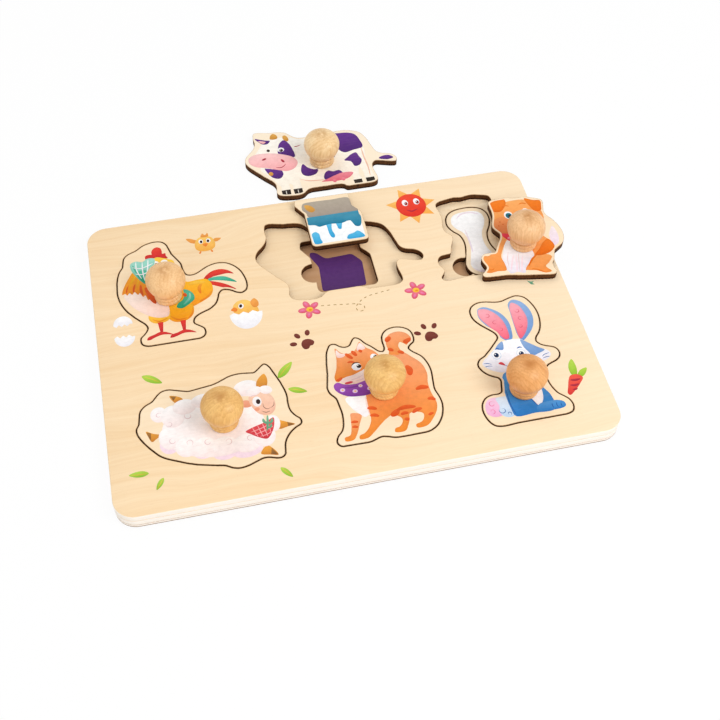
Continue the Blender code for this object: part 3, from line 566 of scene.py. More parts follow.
def cracked(x, y, wide, high, side=1):
    """Half an egg shell with a cracked edge, its round end down, or up where side is -1."""
    bowl = [(wide * math.cos(a), -high * math.sin(a)) for a in np.linspace(0, math.pi, 26)]
    teeth = 7
    crack = [(-wide + 2 * wide * k / teeth, 1.5 if k % 2 else -0.3) for k in range(1, teeth)]
    return [("shell", np.array(bowl + crack) * (1, side) + (x, y))]


def sun(x, y):
    """A smiling sun with seven rays."""
    shapes = []
    tip, base = 17.4, 9.8
    for degrees in (7, 58, 109, 168, 231, 275, 322):
        a = math.radians(degrees)
        pts = [(tip * math.cos(a), tip * math.sin(a))]
        pts += [(base * math.cos(a + d), base * math.sin(a + d)) for d in (0.45, 0.2, 0, -0.2, -0.45)]
        shapes.append(("ray", np.array(pts) + (x, y)))
    shapes.append(("sun", oval(x, y, 10.3, 10.8)))
    for side in (-1, 1):
        shapes += eye("groove", x + 0.4 + 4.0 * side, y + 3.0, 2.1, 2.9, 0.5, -0.7, 0.55, 0.4)
    shapes.append(("wine", stroke([(x - 4.0, y - 3.6), (x - 0.6, y - 5.4), (x + 3.4, y - 4.0)], 1.1)))
    return shapes


def dashes(points, length, gap, width):
    """A dashed line."""
    line = curve(points, 0.5, closed=False)
    run = lengths(line)
    shapes, s = [], 0.0
    while s + length < run[-1]:
        spots = [[np.interp(s + d, run, line[:, k]) for k in (0, 1)] for d in (0, length / 2, length)]
        shapes.append(("dash", stroke(spots, width, False)))
        s += length + gap
    return shapes


CHICKS = drawing("""
wing blob 70.6 195.6 67 196.4 64.2 200.6 66.8 200.4 69.6 198.8 71.6 197.8
/ 81.4 195.4 84 194.6 87.2 197 84.6 197.8 82.8 197.6
chick blob 69.8 190 69.6 196 72.4 199.8 76.4 201 80.2 199.6 82.6 195.6 82.2 190.2 79 187.8 73 187.8
wing blob 74 200.4 75.4 203.4 77 201.8 78.8 203.4 79 200.2
white oval 73.6 196.4 1.5 1.9 / 78.6 196.4 1.5 1.9
dark oval 73.8 196.2 0.9 1.3 / 78.4 196.2 0.9 1.3
beak blob 74.4 193.8 76.2 194.6 78 193.8 76.2 191.4
beak bar 1.2 72.6 188 71.6 185.8 / 1.2 79.4 188 80.2 185.8
chick blob 86.4 131.4 86.4 137.4 90 141 95 141.2 99 138 101.8 133 101 128 94 126 88 127.4
wing blob 97.6 138.6 100.4 141.4 102.6 138.6 102.2 134.8 99.4 134
white oval 91.4 136.6 1.7 2.1 -12
dark oval 91.2 136.8 1 1.4 -12
beak blob 87 136.4 84.6 134.4 87.8 132.8 88.8 134.8
wing line 2.2 93.6 130.4 97 129 100 130.6
""")
GARDEN = drawing("""
leaf blob 281 41.8 279.8 46.2 281.2 51.4 284 54.2 285 49.8 284.6 45.2 283 41.6
/ 283.6 41.2 286.4 45.2 291 46.2 289.8 43.2 286.4 40.4
root blob 279.2 42.4 283.8 42.6 286.4 39.8 283.4 35.8 279.4 32 274.6 28.8 273.6 30.2 275.4 35.2 277.2 39.6
wine line 1.6 278.2 39.4 281 38.8 284.6 39 / 1.6 276.8 35.8 279.6 35.2 282.6 35.6
/ 1.4 277.4 32.4 279 32.2 280.6 32.8
fern blob 276.4 120.2 277.2 118.4 278 116.8 280.2 116.3 279.4 117.8 280.8 119 278.6 119
""")
TRAIL = [
    (141, 126.6), (149, 125.8), (156, 124.8), (163, 123.8), (168, 121.4), (167.4, 118), (163.8, 117.6),
    (162.9, 121), (166.6, 125.4), (172, 128.4), (180, 129.8), (191, 131.2),
]
BOARD_PRINTS = (
    sun(218.8, 200.9) + CHICKS + cracked(93.6, 130.4, 10.4, 12.6)
    + cracked(17.2, 126.6, 6.4, 7.4) + cracked(17.0, 136.4, 6.0, 7.0, -1) + GARDEN
    + dashes(TRAIL, length=2.2, gap=1.8, width=0.6)
    + flower(133.6, 125.2, 38) + flower(203.6, 127.0, 30) + paw(126.8, 99.1, 36) + paw(203.5, 89.3, 18)
    + leaf(24.6, 94.8, 13.6, -33) + leaf(105.0, 76.8, 14.4, 46) + leaf(109.4, 67.8, 11.6, -21)
    + leaf(21.8, 26.6, 11.2, 176) + leaf(29.6, 22.0, 8.4, 237) + leaf(95.6, 15.0, 9.4, -52)
)


# Materials: how strong a bump is, and its depths in metres
BUMP_STRENGTH = 0.6
PLY_BUMP, KNOB_BUMP, STEEL_BUMP, GLUE_BUMP = 0.00003, 0.00002, 0.00001, 0.00003


class Nodes:
    """The nodes of one material or world, most of them made by a call that returns their output."""

    def __init__(self, owner):
        owner.use_nodes = True
        self.owner = owner
        self.tree = owner.node_tree
        self.tree.nodes.clear()

    def add(self, kind, inputs=None, **settings):
        made = self.tree.nodes.new("ShaderNode" + kind)
        for key, value in settings.items():
            setattr(made, key, value)
        for key, value in (inputs or {}).items():
            if isinstance(value, bpy.types.NodeSocket):
                self.tree.links.new(value, made.inputs[key])
            else:
                made.inputs[key].default_value = value
        return made

    def held(self, name, output="Fac"):
        """What a mesh holds under a name."""
        return self.add("Attribute", attribute_name=name).outputs[output]

    def calc(self, operation, *values, clamp=False):
        return self.add("Math", dict(enumerate(values)), operation=operation, use_clamp=clamp).outputs[0]

    def plus(self, a, b):
        return self.calc("ADD", a, b)

    def times(self, a, b):
        return self.calc("MULTIPLY", a, b)

    def vectors(self, operation, a, b):
        return self.add("VectorMath", {0: a, 1: b}, operation=operation).outputs[0]

    def blend(self, factor, a, b, mode="MIX"):
        """Two colours mixed, or b worked into a with a blend mode."""
        a, b = [(*c, 1.0) if isinstance(c, tuple) else c for c in (a, b)]
        return self.add("Mix", {0: factor, 6: a, 7: b}, data_type="RGBA", blend_type=mode).outputs[2]

    def span(self, value, low, high, to_low=0.0, to_high=1.0):
        return self.add("MapRange", {0: value, 1: low, 2: high, 3: to_low, 4: to_high}).outputs[0]

    def noise(self, vector, size, detail=2.0, roughness=0.5):
        """Noise over a vector, with size counts per unit of it along each axis."""
        inputs = {"Vector": self.vectors("MULTIPLY", vector, size), "Scale": 1.0}
        inputs.update({"Detail": detail, "Roughness": roughness})
        return self.add("TexNoise", inputs).outputs[0]

    def ramp(self, value, stops):
        made = self.add("ValToRGB", {0: value})
        while len(made.color_ramp.elements) < len(stops):
            made.color_ramp.elements.new(0.5)
        for element, (place, *colour) in zip(made.color_ramp.elements, stops):
            element.position = place
            element.color = (*colour, 1.0)
        return made.outputs[0]

    def surface(self, colour, roughness, height, depth, **more):
        """The shader of a material, bumped by height. Returns the material."""
        bump = self.add("Bump", {"Height": height, "Strength": BUMP_STRENGTH, "Distance": depth})
        inputs = {"Base Color": colour, "Roughness": roughness, "Normal": bump.outputs[0]}
        inputs.update({key.replace("_", " "): value for key, value in more.items()})
        self.add("OutputMaterial", {0: self.add("BsdfPrincipled", inputs).outputs[0]})
        return self.owner

    def white_when_seen(self, output, share, own, white):
        """Its own shader, mixed by share with white for the camera, mirrors and glass."""
        path = self.add("LightPath").outputs
        seen = self.calc("MAXIMUM", path["Is Camera Ray"], path["Is Glossy Ray"])
        seen = self.calc("MAXIMUM", seen, path["Is Transmission Ray"])
        mixed = self.add("MixShader", {0: self.times(seen, share), 1: own.outputs[0], 2: white.outputs[0]})
        self.add(output, {0: mixed.outputs[0]})


def printed_ply():
    """Birch ply with scorched cuts and matt inks, driven by what each sheet's mesh holds.

    Noise sizes are counts per millimetre, and each span says from which values to which.
    """
    n = Nodes(bpy.data.materials.new("printed_ply"))
    grain = n.held("grain", "Vector")
    burn, level, tint = (n.held(name) for name in ("burn", "level", "tint"))
    ink = n.add("Attribute", attribute_name="ink").outputs
    x, y, z = n.add("SeparateXYZ", {0: grain}).outputs

    # Veneer: long faint figure, streaks, fibres and small flecks along X
    drift = n.noise(grain, (0.011, 0.03, 0.05), 1.0)
    figure_sway = 26.0
    bent = n.add("CombineXYZ", {0: x, 1: n.plus(y, n.times(drift, figure_sway)), 2: z}).outputs[0]
    streak = n.noise(bent, (0.008, 0.36, 0.3), 4.0, 0.6)
    fibre = n.noise(bent, (0.09, 2.6, 1.6), 3.0, 0.6)
    fleck = n.noise(bent, (0.16, 1.5, 0.8), 1.0)
    broad = n.noise(bent, (0.004, 0.045, 0.05), 2.0)
    wood = n.blend(n.span(streak, 0.30, 0.70), (0.885, 0.640, 0.375), (0.955, 0.745, 0.490))
    wood = n.blend(n.span(broad, 0.35, 0.7, 0.0, 0.45), wood, (0.960, 0.765, 0.520))
    wood = n.blend(n.span(fibre, 0.40, 0.75, 0.0, 0.22), wood, (0.800, 0.540, 0.280))
    wood = n.blend(n.span(fleck, 0.72, 0.84, 0.0, 0.16), wood, (0.66, 0.40, 0.18))
    wood = n.blend(n.span(tint, 0.0, 1.0), wood, (0.56, 0.42, 0.35), "MULTIPLY")
    # Painted sheen: the wood turns paler towards the right, standing in for the stronger light there. Plates
    # are paler by how far their tint is below nothing, and the browner base sheet not at all.
    paler = n.calc("MAXIMUM", n.span(tint, -1.0, 0.0, 0.9, 0.0), n.span(x, -60.0, 160.0, 0.0, 0.35))
    paler = n.times(paler, n.span(tint, 0.0, 1.0, 1.0, 0.0))
    wood = n.blend(paler, wood, (0.965, 0.845, 0.670))

    # Cut edges: three plies, pale on the outer rim and burnt brown where a beam cut them
    uneven = n.span(n.noise(grain, (0.5, 0.5, 0.3), 2.0), 0.3, 0.7, -0.03, 0.03)
    rough_level = n.plus(level, uneven)
    pores = n.noise(grain, (2.2, 2.2, 0.9), 3.0, 0.7)
    pale = n.ramp(rough_level, [
        (0.00, 0.92, 0.85, 0.75), (0.225, 0.93, 0.86, 0.77), (0.245, 0.86, 0.76, 0.64),
        (0.27, 0.92, 0.85, 0.76), (0.73, 0.93, 0.86, 0.78), (0.755, 0.87, 0.78, 0.66),
        (0.78, 0.95, 0.89, 0.82), (1.00, 0.95, 0.90, 0.84)])
    pale = n.blend(n.span(pores, 0.52, 0.80, 0.0, 0.18), pale, (0.78, 0.63, 0.46))
    # Painted contact shadow: on the base sheet the lower half of the pale edge turns dark brown, as shade
    # where the board meets the floor.
    lowest = n.times(n.span(tint, 0.0, 1.0), n.span(rough_level, 0.46, 0.52, 1.0, 0.0))
    pale = n.blend(lowest, pale, (0.33, 0.21, 0.12))
    burnt = n.ramp(rough_level, [
        (0.00, 0.024, 0.007, 0.002), (0.23, 0.036, 0.012, 0.004), (0.26, 0.014, 0.004, 0.002),
        (0.30, 0.100, 0.036, 0.011), (0.70, 0.115, 0.043, 0.013), (0.745, 0.018, 0.006, 0.002),
        (0.82, 0.095, 0.036, 0.012), (1.00, 0.500, 0.290, 0.140)])
    charred = n.noise(grain, (0.8, 0.8, 0.15), 3.0, 0.65)
    burnt = n.blend(n.span(charred, 0.44, 0.72, 0.0, 0.6), burnt, (0.020, 0.009, 0.004))
    up = n.add("SeparateXYZ", {0: n.add("NewGeometry").outputs["Normal"]}).outputs[2]
    side = n.span(n.calc("ABSOLUTE", up), 0.45, 0.75, 1.0, 0.0)
    bare = n.blend(side, wood, pale)
    scorch = n.span(n.plus(burn, n.span(charred, 0.3, 0.7, -0.12, 0.12)), 0.08, 0.72)
    singed = n.blend(n.times(scorch, n.calc("SUBTRACT", 1.0, side)), bare, (0.40, 0.22, 0.09))
    base = n.blend(n.times(burn, side), singed, burnt)

    # Inks: a little uneven, with the grain faintly through them
    cloud = n.noise(grain, (0.35, 0.35, 0.3), 3.0, 0.6)
    spot = n.noise(grain, (2.4, 2.4, 1.0), 2.0)
    value = n.plus(n.span(cloud, 0.3, 0.7, 0.93, 1.05), n.span(spot, 0.3, 0.7, -0.025, 0.025))
    value = n.calc("SUBTRACT", value, n.span(fibre, 0.45, 0.8, 0.0, 0.06))
    value_colour = n.add("CombineColor", {0: value, 1: value, 2: value}).outputs[0]
    inked = n.blend(1.0, ink["Color"], value_colour, "MULTIPLY")
    cover = n.times(ink["Alpha"], n.span(fibre, 0.5, 0.85, 1.0, 0.94))
    colour = n.blend(cover, base, inked)

    roughness = n.plus(n.span(fibre, 0.3, 0.7, 0.44, 0.54), n.times(burn, 0.28))
    roughness = n.calc("SUBTRACT", roughness, n.times(cover, 0.08), clamp=True)
    height = n.plus(n.times(fibre, 0.5), n.times(pores, side))
    return n.surface(colour, roughness, height, PLY_BUMP, Specular_IOR_Level=0.08)


def knob_wood():
    """Turned beech: arcs of growth rings round a far pith, patches, fibres and short dark rays.

    The tone that each knob's mesh holds is its wood's own colour, and its crown says where the end
    grain on top has taken up more lacquer.
    """
    n = Nodes(bpy.data.materials.new("knob_wood"))
    grain, light = n.held("grain", "Vector"), n.held("tone", "Color")
    groove, crown = n.held("groove"), n.held("crown")
    sway = n.noise(grain, (0.06, 0.06, 0.03), 2.0)
    push = n.add("CombineXYZ", {0: n.times(sway, 10.0), 1: n.times(sway, -7.0)}).outputs[0]
    scaled = n.vectors("MULTIPLY", n.vectors("ADD", grain, push), (0.15, 0.15, 0.012))
    rings = n.add(
        "TexWave", {"Vector": scaled, "Scale": 1.0, "Distortion": 4.0, "Detail": 3.0},
        wave_type="RINGS", rings_direction="Z", wave_profile="SAW").outputs["Fac"]
    fibre = n.noise(grain, (0.9, 0.9, 0.06), 3.0, 0.6)
    ray = n.noise(grain, (3.0, 3.0, 0.5), 1.0)
    patch = n.noise(grain, (0.10, 0.07, 0.035), 3.0, 0.55)
    deep = n.blend(1.0, light, (0.74, 0.56, 0.36), "MULTIPLY")
    brown = n.blend(1.0, light, (0.55, 0.38, 0.20), "MULTIPLY")
    strength = n.span(patch, 0.35, 0.6, 0.1, 0.5)
    smudge = n.times(crown, n.span(n.noise(grain, (0.3, 0.3, 0.2), 2.0), 0.3, 0.55))
    colour = n.blend(n.span(patch, 0.44, 0.64, 0.0, 0.4), light, deep)
    colour = n.blend(n.times(n.calc("POWER", rings, 1.8), strength), colour, deep)
    colour = n.blend(n.span(fibre, 0.42, 0.75, 0.0, 0.4), colour, brown)
    colour = n.blend(n.span(ray, 0.66, 0.76, 0.0, 0.3), colour, brown)
    colour = n.blend(n.times(smudge, 0.8), colour, brown)
    # Painted shade: groove darkens the grooves of the foot and ring and the neck under the cup towards brown.
    colour = n.blend(n.times(groove, 0.35), colour, brown)
    height = n.plus(fibre, n.times(rings, 0.3))
    return n.surface(
        colour, n.span(fibre, 0.3, 0.7, 0.36, 0.48), height, KNOB_BUMP,
        Specular_IOR_Level=0.3, Coat_Weight=0.06, Coat_Roughness=0.25)


def patchy(name, size, colours, rough, depth, **more):
    """A material of two colours in patches, size counts per metre."""
    n = Nodes(bpy.data.materials.new(name))
    patch = n.noise(n.add("TexCoord").outputs["Object"], size, 3.0, 0.6)
    return n.surface(
        n.blend(n.span(patch, 0.35, 0.7), *colours), n.span(patch, 0.3, 0.7, *rough), patch, depth, **more)


PLY = printed_ply()
KNOB_WOOD = knob_wood()
STEEL = patchy(
    "screw_steel", (900.0, 900.0, 2600.0), [(0.70, 0.69, 0.66), (0.50, 0.49, 0.46)],
    (0.26, 0.42), STEEL_BUMP, Metallic=1.0)
GLUE = patchy(
    "glue", (140.0, 140.0, 900.0), [(0.78, 0.64, 0.47), (0.90, 0.80, 0.66)],
    (0.5, 0.65), GLUE_BUMP)

# Sheets, in millimetres: the steps and edges of their outlines, how their prints and scorch marks
# are laid out, and the screw holes under the plates
CUT_STEP = 0.85
LONG_RUN = 6.0
SMALL_HOLE = 6.0
WALL_STEP = 1.2
CLEAR_STEP = 1.5
SOFT_STEP = 0.5
CUT_EDGE, CUT_STEPS = 0.09, 2
RIM_EDGE, RIM_STEPS = 0.7, 4
PRINT_MARGIN = 1.2
SHADE_GRID = 1.7
BORDER_REACH = 0.9
MERGE_WITHIN = 1e-5
SCORCH_RINGS = (0.2, 0.55)
RING_KEPT_FROM = 0.85
SCORCH_REACH = 0.2
SCORCH_POWER = 1.3
SCORCH_END = 0.9
SCORCH_TOP = 0.8
LOW_EDGE_BURN = 0.45
LOW_FACE_SHARE = 0.5
NO_CUT = 9.0
SCREW_HOLE_R = 3.7
SCREW_HOLE = ((1.0, 0.0), (0.98, 0.5), (0.55, 2.2), (0.5, 3.4))
LOT_SHIFT = (53.0, 71.0)


def split(loop, longest):
    """An outline with its long straight runs cut into even steps."""
    out = []
    for a, b in zip(loop, np.roll(loop, -1, 0)):
        steps = max(1, math.ceil(np.linalg.norm(b - a) / longest))
        out += [a + (b - a) * k / steps for k in range(steps)]
    return np.array(out)


def soften(loop, reach=2.0):
    """An outline with its corners rounded, by a mean over reach to either side."""
    even = split(loop, SOFT_STEP)
    closed = np.concatenate([even, even[:1]])
    run = lengths(closed)
    s = np.arange(0, run[-1], SOFT_STEP)
    even = np.stack([np.interp(s, run, closed[:, k]) for k in (0, 1)], 1)
    width = int(reach / SOFT_STEP)
    return sum(np.roll(even, k, 0) for k in range(-width, width + 1))[::2] / (2 * width + 1)


def piece_outline(name):
    """The smoothed outlines of a sheet's CAD node in millimetres, the small screw hole left out."""
    loops = [l for l in outlines(name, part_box(name)[1][2]) if np.ptp(l, 0).max() > SMALL_HOLE]
    return [curve(l, CUT_STEP, longest=LONG_RUN) for l in loops]


def shade_points(shapes):
    """Points of an even grid inside printed shapes, which carry their shading."""
    seen, points = set(), []
    for _, pts in shapes:
        low, high = np.floor(pts.min(0) / SHADE_GRID), np.ceil(pts.max(0) / SHADE_GRID)
        cells = [(i, j) for i in range(int(low[0]), int(high[0])) for j in range(int(low[1]), int(high[1]))]
        cells = [cell for cell in cells if cell not in seen]
        spots = [((i + 0.5 * (j % 2)) * SHADE_GRID, j * SHADE_GRID) for i, j in cells]
        spots = np.array(spots).reshape(-1, 2)
        for cell, spot, within in zip(cells, spots, crossings(spots, pts)):
            if within:
                seen.add(cell)
                points.append(spot)
    return points


def inside_all(points, loops):
    """True for each point between the outermost of some outlines and the holes in it."""
    return sum(crossings(points, loop).astype(int) for loop in loops) % 2 == 1


def inks_of(corners, mids, shapes, clear):
    """The ink at each triangle corner, from the topmost shape round the triangle's middle."""
    inks = np.zeros((len(mids), 3, 4))
    free = inside_all(mids, clear) if clear else np.ones(len(mids), bool)
    for ink, pts in shapes:
        hit = crossings(mids, pts) & free
        if not hit.any():
            continue
        first, second, border = INKS[ink]
        places = corners[hit]
        high = max(np.ptp(pts[:, 1]), SHORT)
        fall = np.clip((pts[:, 1].max() - places[:, :, 1]) / high, 0, 1)[..., None]
        away = np.sqrt(((places.reshape(-1, 1, 2) - pts[None]) ** 2).sum(2).min(1)).reshape(places.shape[:2])
        dark = 1 - border * np.exp(-(away / BORDER_REACH) ** 2)
        inks[hit, :, :3] = (first + (second - first) * fall) * dark[..., None]
        inks[hit, :, 3] = 1.0
    return inks


def fill(rings, shapes, cuts, upward, start, margin=0.0):
    """A flat face between rings of numbered corners, split along its prints.

    Returns new corners, triangles, each triangle corner's ink and the new corners' distance from a
    cut. Corners of the rings keep their numbers, and the new ones are numbered from start. Prints
    stay margin away from the face's edges.
    """
    edge_loops = [pts for pts, _ in rings]
    numbers = np.concatenate([ids for _, ids in rings])
    clear = [split(inset(pts, margin), CLEAR_STEP) for pts in edge_loops] if margin else []
    loops = edge_loops + [pts for _, pts in shapes] + clear
    edges, count = [], 0
    for pts in loops:
        edges += [(count + k, count + (k + 1) % len(pts)) for k in range(len(pts))]
        count += len(pts)
    near = kdtree.KDTree(sum(len(c) for c in cuts) or 1)
    for k, p in enumerate(p for c in cuts for p in c):
        near.insert((*p, 0), k)
    near.balance()
    free = shade_points(shapes)
    for distance in SCORCH_RINGS:
        for p in (p for c in cuts for p in inset(c, distance)):
            if near.find((*p, 0))[2] > RING_KEPT_FROM * distance:
                free.append(p)
    flat = [Vector(p) for p in np.concatenate(loops + [np.array(free).reshape(-1, 2)])]
    verts, _, tris, origins, _, _ = geometry.delaunay_2d_cdt(flat, edges, [], 0, MERGE_WITHIN, True)
    verts = np.array([v[:] for v in verts])
    tris = np.array([t for t in tris if len(t) == 3])
    number = np.empty(len(verts), int)
    fresh = []
    for k, origin in enumerate(origins):
        own = [o for o in origin if o < len(numbers)]
        if own:
            number[k] = numbers[own[0]]
        else:
            number[k] = start + len(fresh)
            fresh.append(verts[k])
    a, b, c = (verts[tris[:, k]] for k in range(3))
    turn = (b - a)[:, 0] * (c - a)[:, 1] - (b - a)[:, 1] * (c - a)[:, 0]
    mids = verts[tris].mean(1)
    kept = inside_all(mids, edge_loops) & (np.abs(turn) > TINY)
    tris, mids, turn = tris[kept], mids[kept], turn[kept]
    wrong = (turn > 0) != upward
    tris[wrong] = tris[wrong][:, ::-1]
    inks = inks_of(verts[tris], mids, shapes, clear)
    away = [near.find((*p, 0))[2] for p in fresh] if cuts else [NO_CUT] * len(fresh)
    return np.array(fresh).reshape(-1, 2), number[tris], inks, np.array(away)


def scorch_at(distance):
    """How burnt the face is at a distance from a cut."""
    distance = np.asarray(distance, float)
    burnt = SCORCH_TOP * np.exp(-(distance / SCORCH_REACH) ** SCORCH_POWER)
    return np.where(distance < SCORCH_END, burnt, 0.0)


# From how many degrees a mesh's edges stay sharp
SHEET_SHARP, KNOB_SHARP, SCREW_SHARP, STRIP_SHARP = 20.0, 38.0, 30.0, 30.0


def make_mesh(name, verts, faces, mat, sharp, **values):
    """An object from corners in millimetres, with values at its corners: a kind, and the data."""
    mesh = bpy.data.meshes.new(name)
    mesh.from_pydata([tuple(v) for v in np.array(verts) * MM], [], [tuple(f) for f in faces])
    mesh.materials.append(mat)
    for key, (kind, data) in values.items():
        made = mesh.attributes.new(key, kind, "CORNER" if len(data) == len(mesh.loops) else "POINT")
        field = {"FLOAT": "value", "FLOAT_VECTOR": "vector", "FLOAT_COLOR": "color"}[kind]
        made.data.foreach_set(field, np.ascontiguousarray(data, np.float32).ravel())
    mesh.shade_smooth()
    mesh.set_sharp_from_angle(angle=math.radians(sharp))
    mesh.validate()
    obj = bpy.data.objects.new(name, mesh)
    scene.collection.objects.link(obj)
    return obj


def wall(verts, faces, rings):
    """Quads between rings of corners, lowest first. Returns each ring's corner numbers."""
    numbers = []
    for ring, z in rings:
        numbers.append(np.arange(len(verts), len(verts) + len(ring)))
        verts += [(x, y, z) for x, y in ring]
    for low, high in zip(numbers, numbers[1:]):
        faces += list(zip(low, np.roll(low, -1), np.roll(high, -1), high))
    return numbers


def edge_profile(lower, upper, z0, z1, steps):
    """Depth and height up a wall whose lower and upper edges are rounded."""
    arc = [math.pi / 2 * s / steps for s in range(steps + 1)]
    profile = [(lower * (1 - math.sin(a)), z0 + lower * (1 - math.cos(a))) for a in arc]
    return profile + [(upper * (1 - math.cos(a)), z1 - upper * (1 - math.sin(a))) for a in arc]


def heights(node):
    """The lower and upper end of a CAD node in millimetres."""
    low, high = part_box(node)
    return low[2] / MM, high[2] / MM


def sheet(name, cad, body, prints=(), rim=False, top_edge=CUT_EDGE, low_edge=CUT_EDGE,
          turn=0.0, screw=None, margin=0.0, lot=0, tint=0.0):
    """A sheet that stands for a CAD node: softened edges, scorched cuts and its print.

    rim says that the outermost outline was sawn and sanded, not burnt. screw is the middle of a
    countersunk hole below. A piece's turn about it is undone for its grain, and lot takes the grain
    from another part of the veneer. Prints stay margin away from every edge. tint makes the wood
    browner, or paler below nothing.
    """
    z0, z1 = heights(cad)
    verts, faces, burn = [], [], []
    tops, bottoms, cuts = [], [], []
    for k, loop in enumerate(piece_outline(cad)):
        sawn = rim and k == 0
        upper, lower = (top_edge, low_edge) if sawn else (CUT_EDGE, CUT_EDGE)
        if not sawn:
            loop = split(loop, WALL_STEP)
            cuts.append(loop)
        profile = edge_profile(lower, upper, z0, z1, RIM_STEPS if sawn else CUT_STEPS)
        rings = [(inset(loop, depth) if depth else loop, z) for depth, z in profile]
        numbers = wall(verts, faces, rings)
        burn += [0.0 if sawn else 1.0] * (len(verts) - len(burn))
        tops.append((rings[-1][0], numbers[-1]))
        bottoms.append((rings[0][0], numbers[0]))
        if not sawn:
            for number in numbers[-1]:
                burn[number] = float(scorch_at(upper))
            for number in numbers[0]:
                burn[number] = LOW_EDGE_BURN
    if screw is not None:
        ring = oval(*screw, SCREW_HOLE_R, SCREW_HOLE_R)[::-1]
        hole = [((ring - screw) * scale + screw, z0 + rise) for scale, rise in SCREW_HOLE]
        numbers = wall(verts, faces, hole)
        burn += [0.0] * (len(verts) - len(burn))
        faces.append(tuple(numbers[-1]))
        bottoms.append((ring, numbers[0]))
    inks = [np.zeros((len(f), 4)) for f in faces]
    upper_face = (tops, z1, 1.0, prints, True, margin if prints else 0.0)
    lower_face = (bottoms, z0, LOW_FACE_SHARE, (), False, 0.0)
    for rings, height, share, shapes, upward, away_from_edge in (upper_face, lower_face):
        fresh, tris, colours, away = fill(rings, shapes, cuts, upward, len(verts), away_from_edge)
        verts += [(x, y, height) for x, y in fresh]
        burn += list(scorch_at(away) * share)
        faces += [tuple(t) for t in tris]
        inks += list(colours)
    verts = np.array(verts)
    level = np.clip((verts[:, 2] - z0) / (z1 - z0), 0, 1)
    about = (0, 0) if screw is None else screw
    unturned = moved([("", verts[:, :2])], -turn, about, about)[0][1] + np.array(LOT_SHIFT) * lot
    grain = np.column_stack([unturned, verts[:, 2]])
    obj = make_mesh(
        name, verts, faces, PLY, SHEET_SHARP, ink=("FLOAT_COLOR", np.concatenate(inks)),
        burn=("FLOAT", burn), level=("FLOAT", level), grain=("FLOAT_VECTOR", grain),
        tint=("FLOAT", [tint] * len(verts)))
    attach(obj, body)
    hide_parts(cad)


# Silhouettes on the base sheet show where each small piece goes: ink, and how far inside its outline
TRACES = {
    "egg": ("yolk", 3.0), "wool": ("kerchief", 3.0), "fish": ("sky", 2.4),
    "carrot": ("leaf", 2.4), "bone": ("mauve", 3.0),
}
CARTON_TRACE = at(drawing("""
trace poly 146 145.6 147.6 166.6 143.2 177 143.8 180.6 147.8 179.8 153.4 173.2 171.4 174.2 177 166.6
175.4 145.4
"""))
traces = [(ink, inset(piece_outline(name + "_piece")[0], depth)) for name, (ink, depth) in TRACES.items()]
traces = [(ink, soften(pts)) for ink, pts in traces + CARTON_TRACE]
sheet("top_sheet", "top_board", "board", at(BOARD_PRINTS), rim=True, top_edge=RIM_EDGE)
sheet("middle_sheet", "middle_board", "board", rim=True)
sheet("base_sheet", "base_board", "board", traces, rim=True, low_edge=RIM_EDGE, tint=1.0)

# The animal plates: print, turn in degrees and tint
COW_TURN, DOG_TURN = 1.0, -8.4
PLATES = {
    "rooster": (at(ROOSTER), 0.0, -0.25), "sheep": (at(SHEEP), 0.0, -0.4),
    "cat": (at(CAT), 0.0, -0.5), "rabbit": (at(RABBIT), 0.0, -0.25),
    "cow": (moved(COW, COW_TURN, KNOB_AT["cow"], middle("cow_knob")), COW_TURN, -1.0),
    "dog": (at(DOG), DOG_TURN, -0.45),
}
for lot, (name, (prints, turn, tint)) in enumerate(PLATES.items(), 1):
    sheet(name + "_tile", name + "_plate", name, prints, turn=turn,
          screw=middle(name + "_knob"), margin=PRINT_MARGIN, lot=lot, tint=tint)

